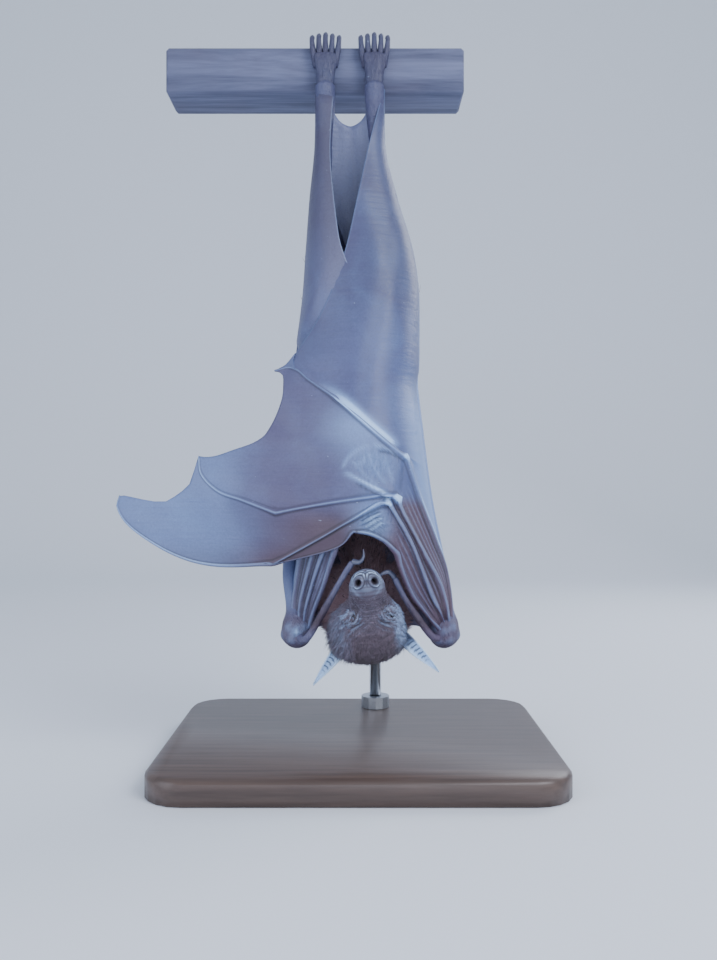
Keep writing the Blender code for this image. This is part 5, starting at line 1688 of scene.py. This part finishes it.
def body_coat(name, points, count, along, length, width, rise, steps=LONG, pale=0.0):
    """Fur over a limb or the body, that lies along one direction."""
    roots, normals, shares = scattered(points, np.ones(points.shape[:2]), count)
    lie = np.broadcast_to(unit(along), roots.shape)
    russet = np.clip(mantle(roots) + 0.15 * uneven(roots, 0.02, 11), 0, 1)
    length, width, rise = (np.full(count, value) for value in (length, width, rise))
    # The breast's fur is russet, and painted paler still as a painted fill light in the shaded hollow under
    # the wrap.
    breast_with_painted_fill = 1 - ease(-0.010, 0.012, roots[:, 1])
    tone = 0.40 + 0.55 * breast_with_painted_fill + 0.1 * uneven(roots, 0.03, 12)
    russet = np.maximum(russet, 0.9 * breast_with_painted_fill)
    pale = pale * (0.5 + breast_with_painted_fill) * RANDOM.random(count) * 1.6
    return coat(name, roots, normals, lie, length, width, rise, shares, steps, tone, pale=pale, russet=russet)


for number, width in enumerate((0.55, 0.50, 0.42)):
    head_coat(f"head_fur_{number + 1}", 17000, width * MM)
trunk = trunk_points(56, 70, UNDER_COAT)
for number in range(2):
    body_coat(f"body_fur_{number + 1}", trunk, 9500, UP, 13 * MM, 0.9 * MM, 0.30, pale=0.42)
body_coat("neck_fur", neck_points(34, 40), 9500, (-0.1, 0.72, 0.69), 10 * MM, 0.8 * MM, 0.34, pale=0.40)
for side in ("left", "right"):
    ruff, along = ruff_points(side, 30, 24, UNDER_RUFF), (SIGN[side] * 0.85, 0.35, 0.30)
    body_coat(f"ruff_fur_{side}", ruff, 5500, along, 9 * MM, 0.7 * MM, 0.24, pale=0.45)
# The fur runs out over the wings' roots on the back.
for side in ("left", "right"):
    count, front = 4500, 20
    sheet = arm_points(side, 60, front, 12)[0]
    near_body = np.append(np.zeros(front), np.linspace(0, 1, len(sheet) - front) ** 4)[:, None]
    roots, normals, shares = scattered(sheet, near_body * (sheet[..., 2] < 0.40), count)
    lie = np.broadcast_to(unit((SIGN[side] * 0.30, 0.0, 1.0)), roots.shape)
    length, width, rise = (np.full(count, value) for value in (12 * MM, 0.9 * MM, 0.30))
    shades = dict(tone=0.4, pale=0.1, russet=mantle(roots))
    coat(f"flank_fur_{side}", roots, normals, lie, length, width, rise, shares, LONG, **shades)
for side in SIGN:
    arm = upper_arm_points(side, 30, 22)
    body_coat(f"arm_fur_{side}", arm, 3000, UP, 8 * MM, 0.7 * MM, 0.20, SHORT)


# ---------------------------------------------------------------- eyes and claws

# Dark claw horn, its colour lightened toward grey as a painted reflection.
horn_and_painted_reflection = plain("claw_horn", "#4d5166", 0.30, Coat_Weight=0.3, Coat_Roughness=0.2)
wet = plain("closed_eye", "#0d0b12", 0.16)

for side in SIGN:
    centre = in_head(*(EYE_PLACE * (1, SIGN[side], 1)))
    ball = bmesh.new()
    bmesh.ops.create_uvsphere(ball, u_segments=40, v_segments=24, radius=EYE_RADIUS)
    bmesh.ops.translate(ball, verts=ball.verts, vec=Vector(centre))
    eye = mesh_object(f"eyeball_{side}", ball, wet)
    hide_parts(f"eye_{side}")
    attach(eye, "root")


def claw(name, route, root):
    def radius(share):
        return root * (1 - share) ** 0.7 + 0.15 * MM

    return closed_grid(name, tube_points(route, radius, 22, 14, flat=0.72), horn_and_painted_reflection)


grown = []
for side in SIGN:
    grown.extend(claw(f"claw_{side}_{i}", route, 1.7 * MM) for i, route in enumerate(claw_routes(side)))
    grown.append(claw(f"thumb_claw_{side}", Route(THUMB_CLAW[side]), 2.1 * MM))
    second = Digit(side, 2)
    tip = second.at(1.87 + 0.129 * evenly(5))
    tip[:, 1] -= 1.2 * MM * np.sin(np.pi * evenly(5))
    grown.append(claw(f"finger_claw_{side}", Route(tip), 1.2 * MM))
claws = join("claws", grown)
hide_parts(*[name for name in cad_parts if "claw" in name])
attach(claws, "root")

# ---------------------------------------------------------------- perch and stand


def make_old_wood():
    """Weathered timber: grey, with long grain and darker checks along it."""
    finish, tree = start_material("weathered_timber", 0.8)
    grain = noise(tree, 0.010, detail=6, roughness=0.65, stretch=(0.07, 1, 1), distortion=0.4)
    blotch = noise(tree, 0.060, detail=3)
    colour = mix(tree, rising(tree, grain, 0.30, 0.70), "#3d4057", "#6d7391")
    colour = mix(tree, ramp(tree, blotch, (0.45, 0.0), (0.80, 0.5)), colour, "#5d5a70")
    return finished(finish, Base_Color=colour, Normal=bumped(tree, grain, 0.0016, 0.8))


def make_steel():
    """Brushed steel: fine scratches round the rod and collar that spread their shine."""
    finish, tree = start_material("brushed_steel", 0.32, Metallic=1.0)
    scratches = noise(tree, 0.0012, detail=3, stretch=(1, 1, 6))
    colour = mix(tree, rising(tree, scratches, 0.35, 0.65), "#a9aeb6", "#c2c7ce")
    return finished(finish, Base_Color=colour, Roughness=ramp(tree, scratches, (0.3, 0.26), (0.7, 0.42)))


def make_base_wood():
    """Stained board: even brown with a fine straight grain under a satin varnish."""
    finish, tree = start_material("stained_board", 0.42, Coat_Weight=0.25, Coat_Roughness=0.25)
    grain = noise(tree, 0.006, detail=5, roughness=0.6, stretch=(0.06, 1, 1))
    colour = mix(tree, rising(tree, grain, 0.30, 0.72), "#43352f", "#5c4b43")
    return finished(finish, Base_Color=colour, Normal=bumped(tree, grain, 0.0003, 0.5))


def refinished(node, finish, slot):
    """A copy of a solid with its corners welded, round faces smoothed and a better finish."""
    mesh = bmesh.new()
    mesh.from_mesh(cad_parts[node].data)
    bmesh.ops.remove_doubles(mesh, verts=mesh.verts, dist=0.01 * MM)
    copy = mesh_object(node.replace("stand_", "mount_").replace("perch_", "old_"), mesh, finish)
    copy.data.set_sharp_from_angle(angle=math.radians(35))
    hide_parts(node)
    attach(copy, "root")


own_finish = {"perch_beam": (make_old_wood(), "wood"), "stand_base": (make_base_wood(), "base_wood")}
steel = make_steel(), "steel"
for node in [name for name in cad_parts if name.startswith(("stand_", "perch_"))]:
    refinished(node, *own_finish.get(node, steel))

# ---------------------------------------------------------------- the room, lights and camera


UNDER_BASE = 0.6 * MM  # the gap between the stand's base and the floor


def stage_plane(name, finish):
    """A pale sweep: floor that curves up into a wall."""
    foot, top = 0.45, 0.70  # where the bend starts and ends, as shares of the sweep
    front, back, radius, wall_top, half_width = -9.0, 1.3, 0.7, 6.0, 60.0
    share = evenly(40)
    depth = np.interp(share, (0, foot, top, 1), (front, back, back + radius, back + radius))
    height = np.interp(share, (0, foot, top, 1), (0.0, 0.0, radius, wall_top))
    bend = (share > foot) & (share < top)
    turn = (share[bend] - foot) / (top - foot) * math.pi / 2
    depth[bend] = back + radius * np.sin(turn)
    height[bend] = radius * (1 - np.cos(turn))
    across = array((-half_width, 0.0, half_width))[:, None]
    return mesh_object(name, grid(stacked(across, depth, height - UNDER_BASE)), finish)


floor = stage_plane("floor", plain("floor_paper", "#e6ebf2", 0.8))


def lamp(name, place, aim, size, power, colour):
    data = bpy.data.lights.new(name, "AREA")
    data.shape = "RECTANGLE"
    data.size, data.size_y = size
    data.energy, data.color = power, linear(colour)[:3]
    made = bpy.data.objects.new(name, data)
    made.location = place
    made.rotation_euler = (Vector(aim) - Vector(place)).to_track_quat("-Z", "Y").to_euler()
    bpy.context.collection.objects.link(made)


lamp("key", (0.9, -1.1, 1.25), (0.0, 0.0, 0.25), (0.9, 0.9), 22, "#eef3ff")
lamp("fill", (-1.3, -1.0, 0.7), (0.0, 0.0, 0.25), (1.2, 1.2), 10, "#e3ebff")
lamp("front", (-0.15, -1.7, 0.35), (0.0, 0.0, 0.2), (1.0, 1.0), 9, "#e8eeff")
lamp("rim", (0.9, 0.7, 0.9), (0.0, 0.0, 0.28), (0.7, 0.7), 8, "#f0f4ff")

world = bpy.data.worlds.new("room")
world.use_nodes = True
air = world.node_tree.nodes["Background"].inputs
air["Color"].default_value = linear("#dbe4f4")
air["Strength"].default_value = 0.85
bpy.context.scene.world = world

SENSOR = 36
HALF_VIEW = math.radians(27.1)
lens = bpy.data.cameras.new("camera")
lens.sensor_width = SENSOR
lens.sensor_height = SENSOR
lens.sensor_fit = "VERTICAL"
lens.lens = SENSOR / 2 / math.tan(HALF_VIEW)
lens.clip_start = 0.05
camera = bpy.data.objects.new("camera", lens)
camera.location = (0.0, -0.75, 0.22)
camera.rotation_euler = (math.radians(90), 0, 0)
bpy.context.collection.objects.link(camera)
bpy.context.scene.camera = camera
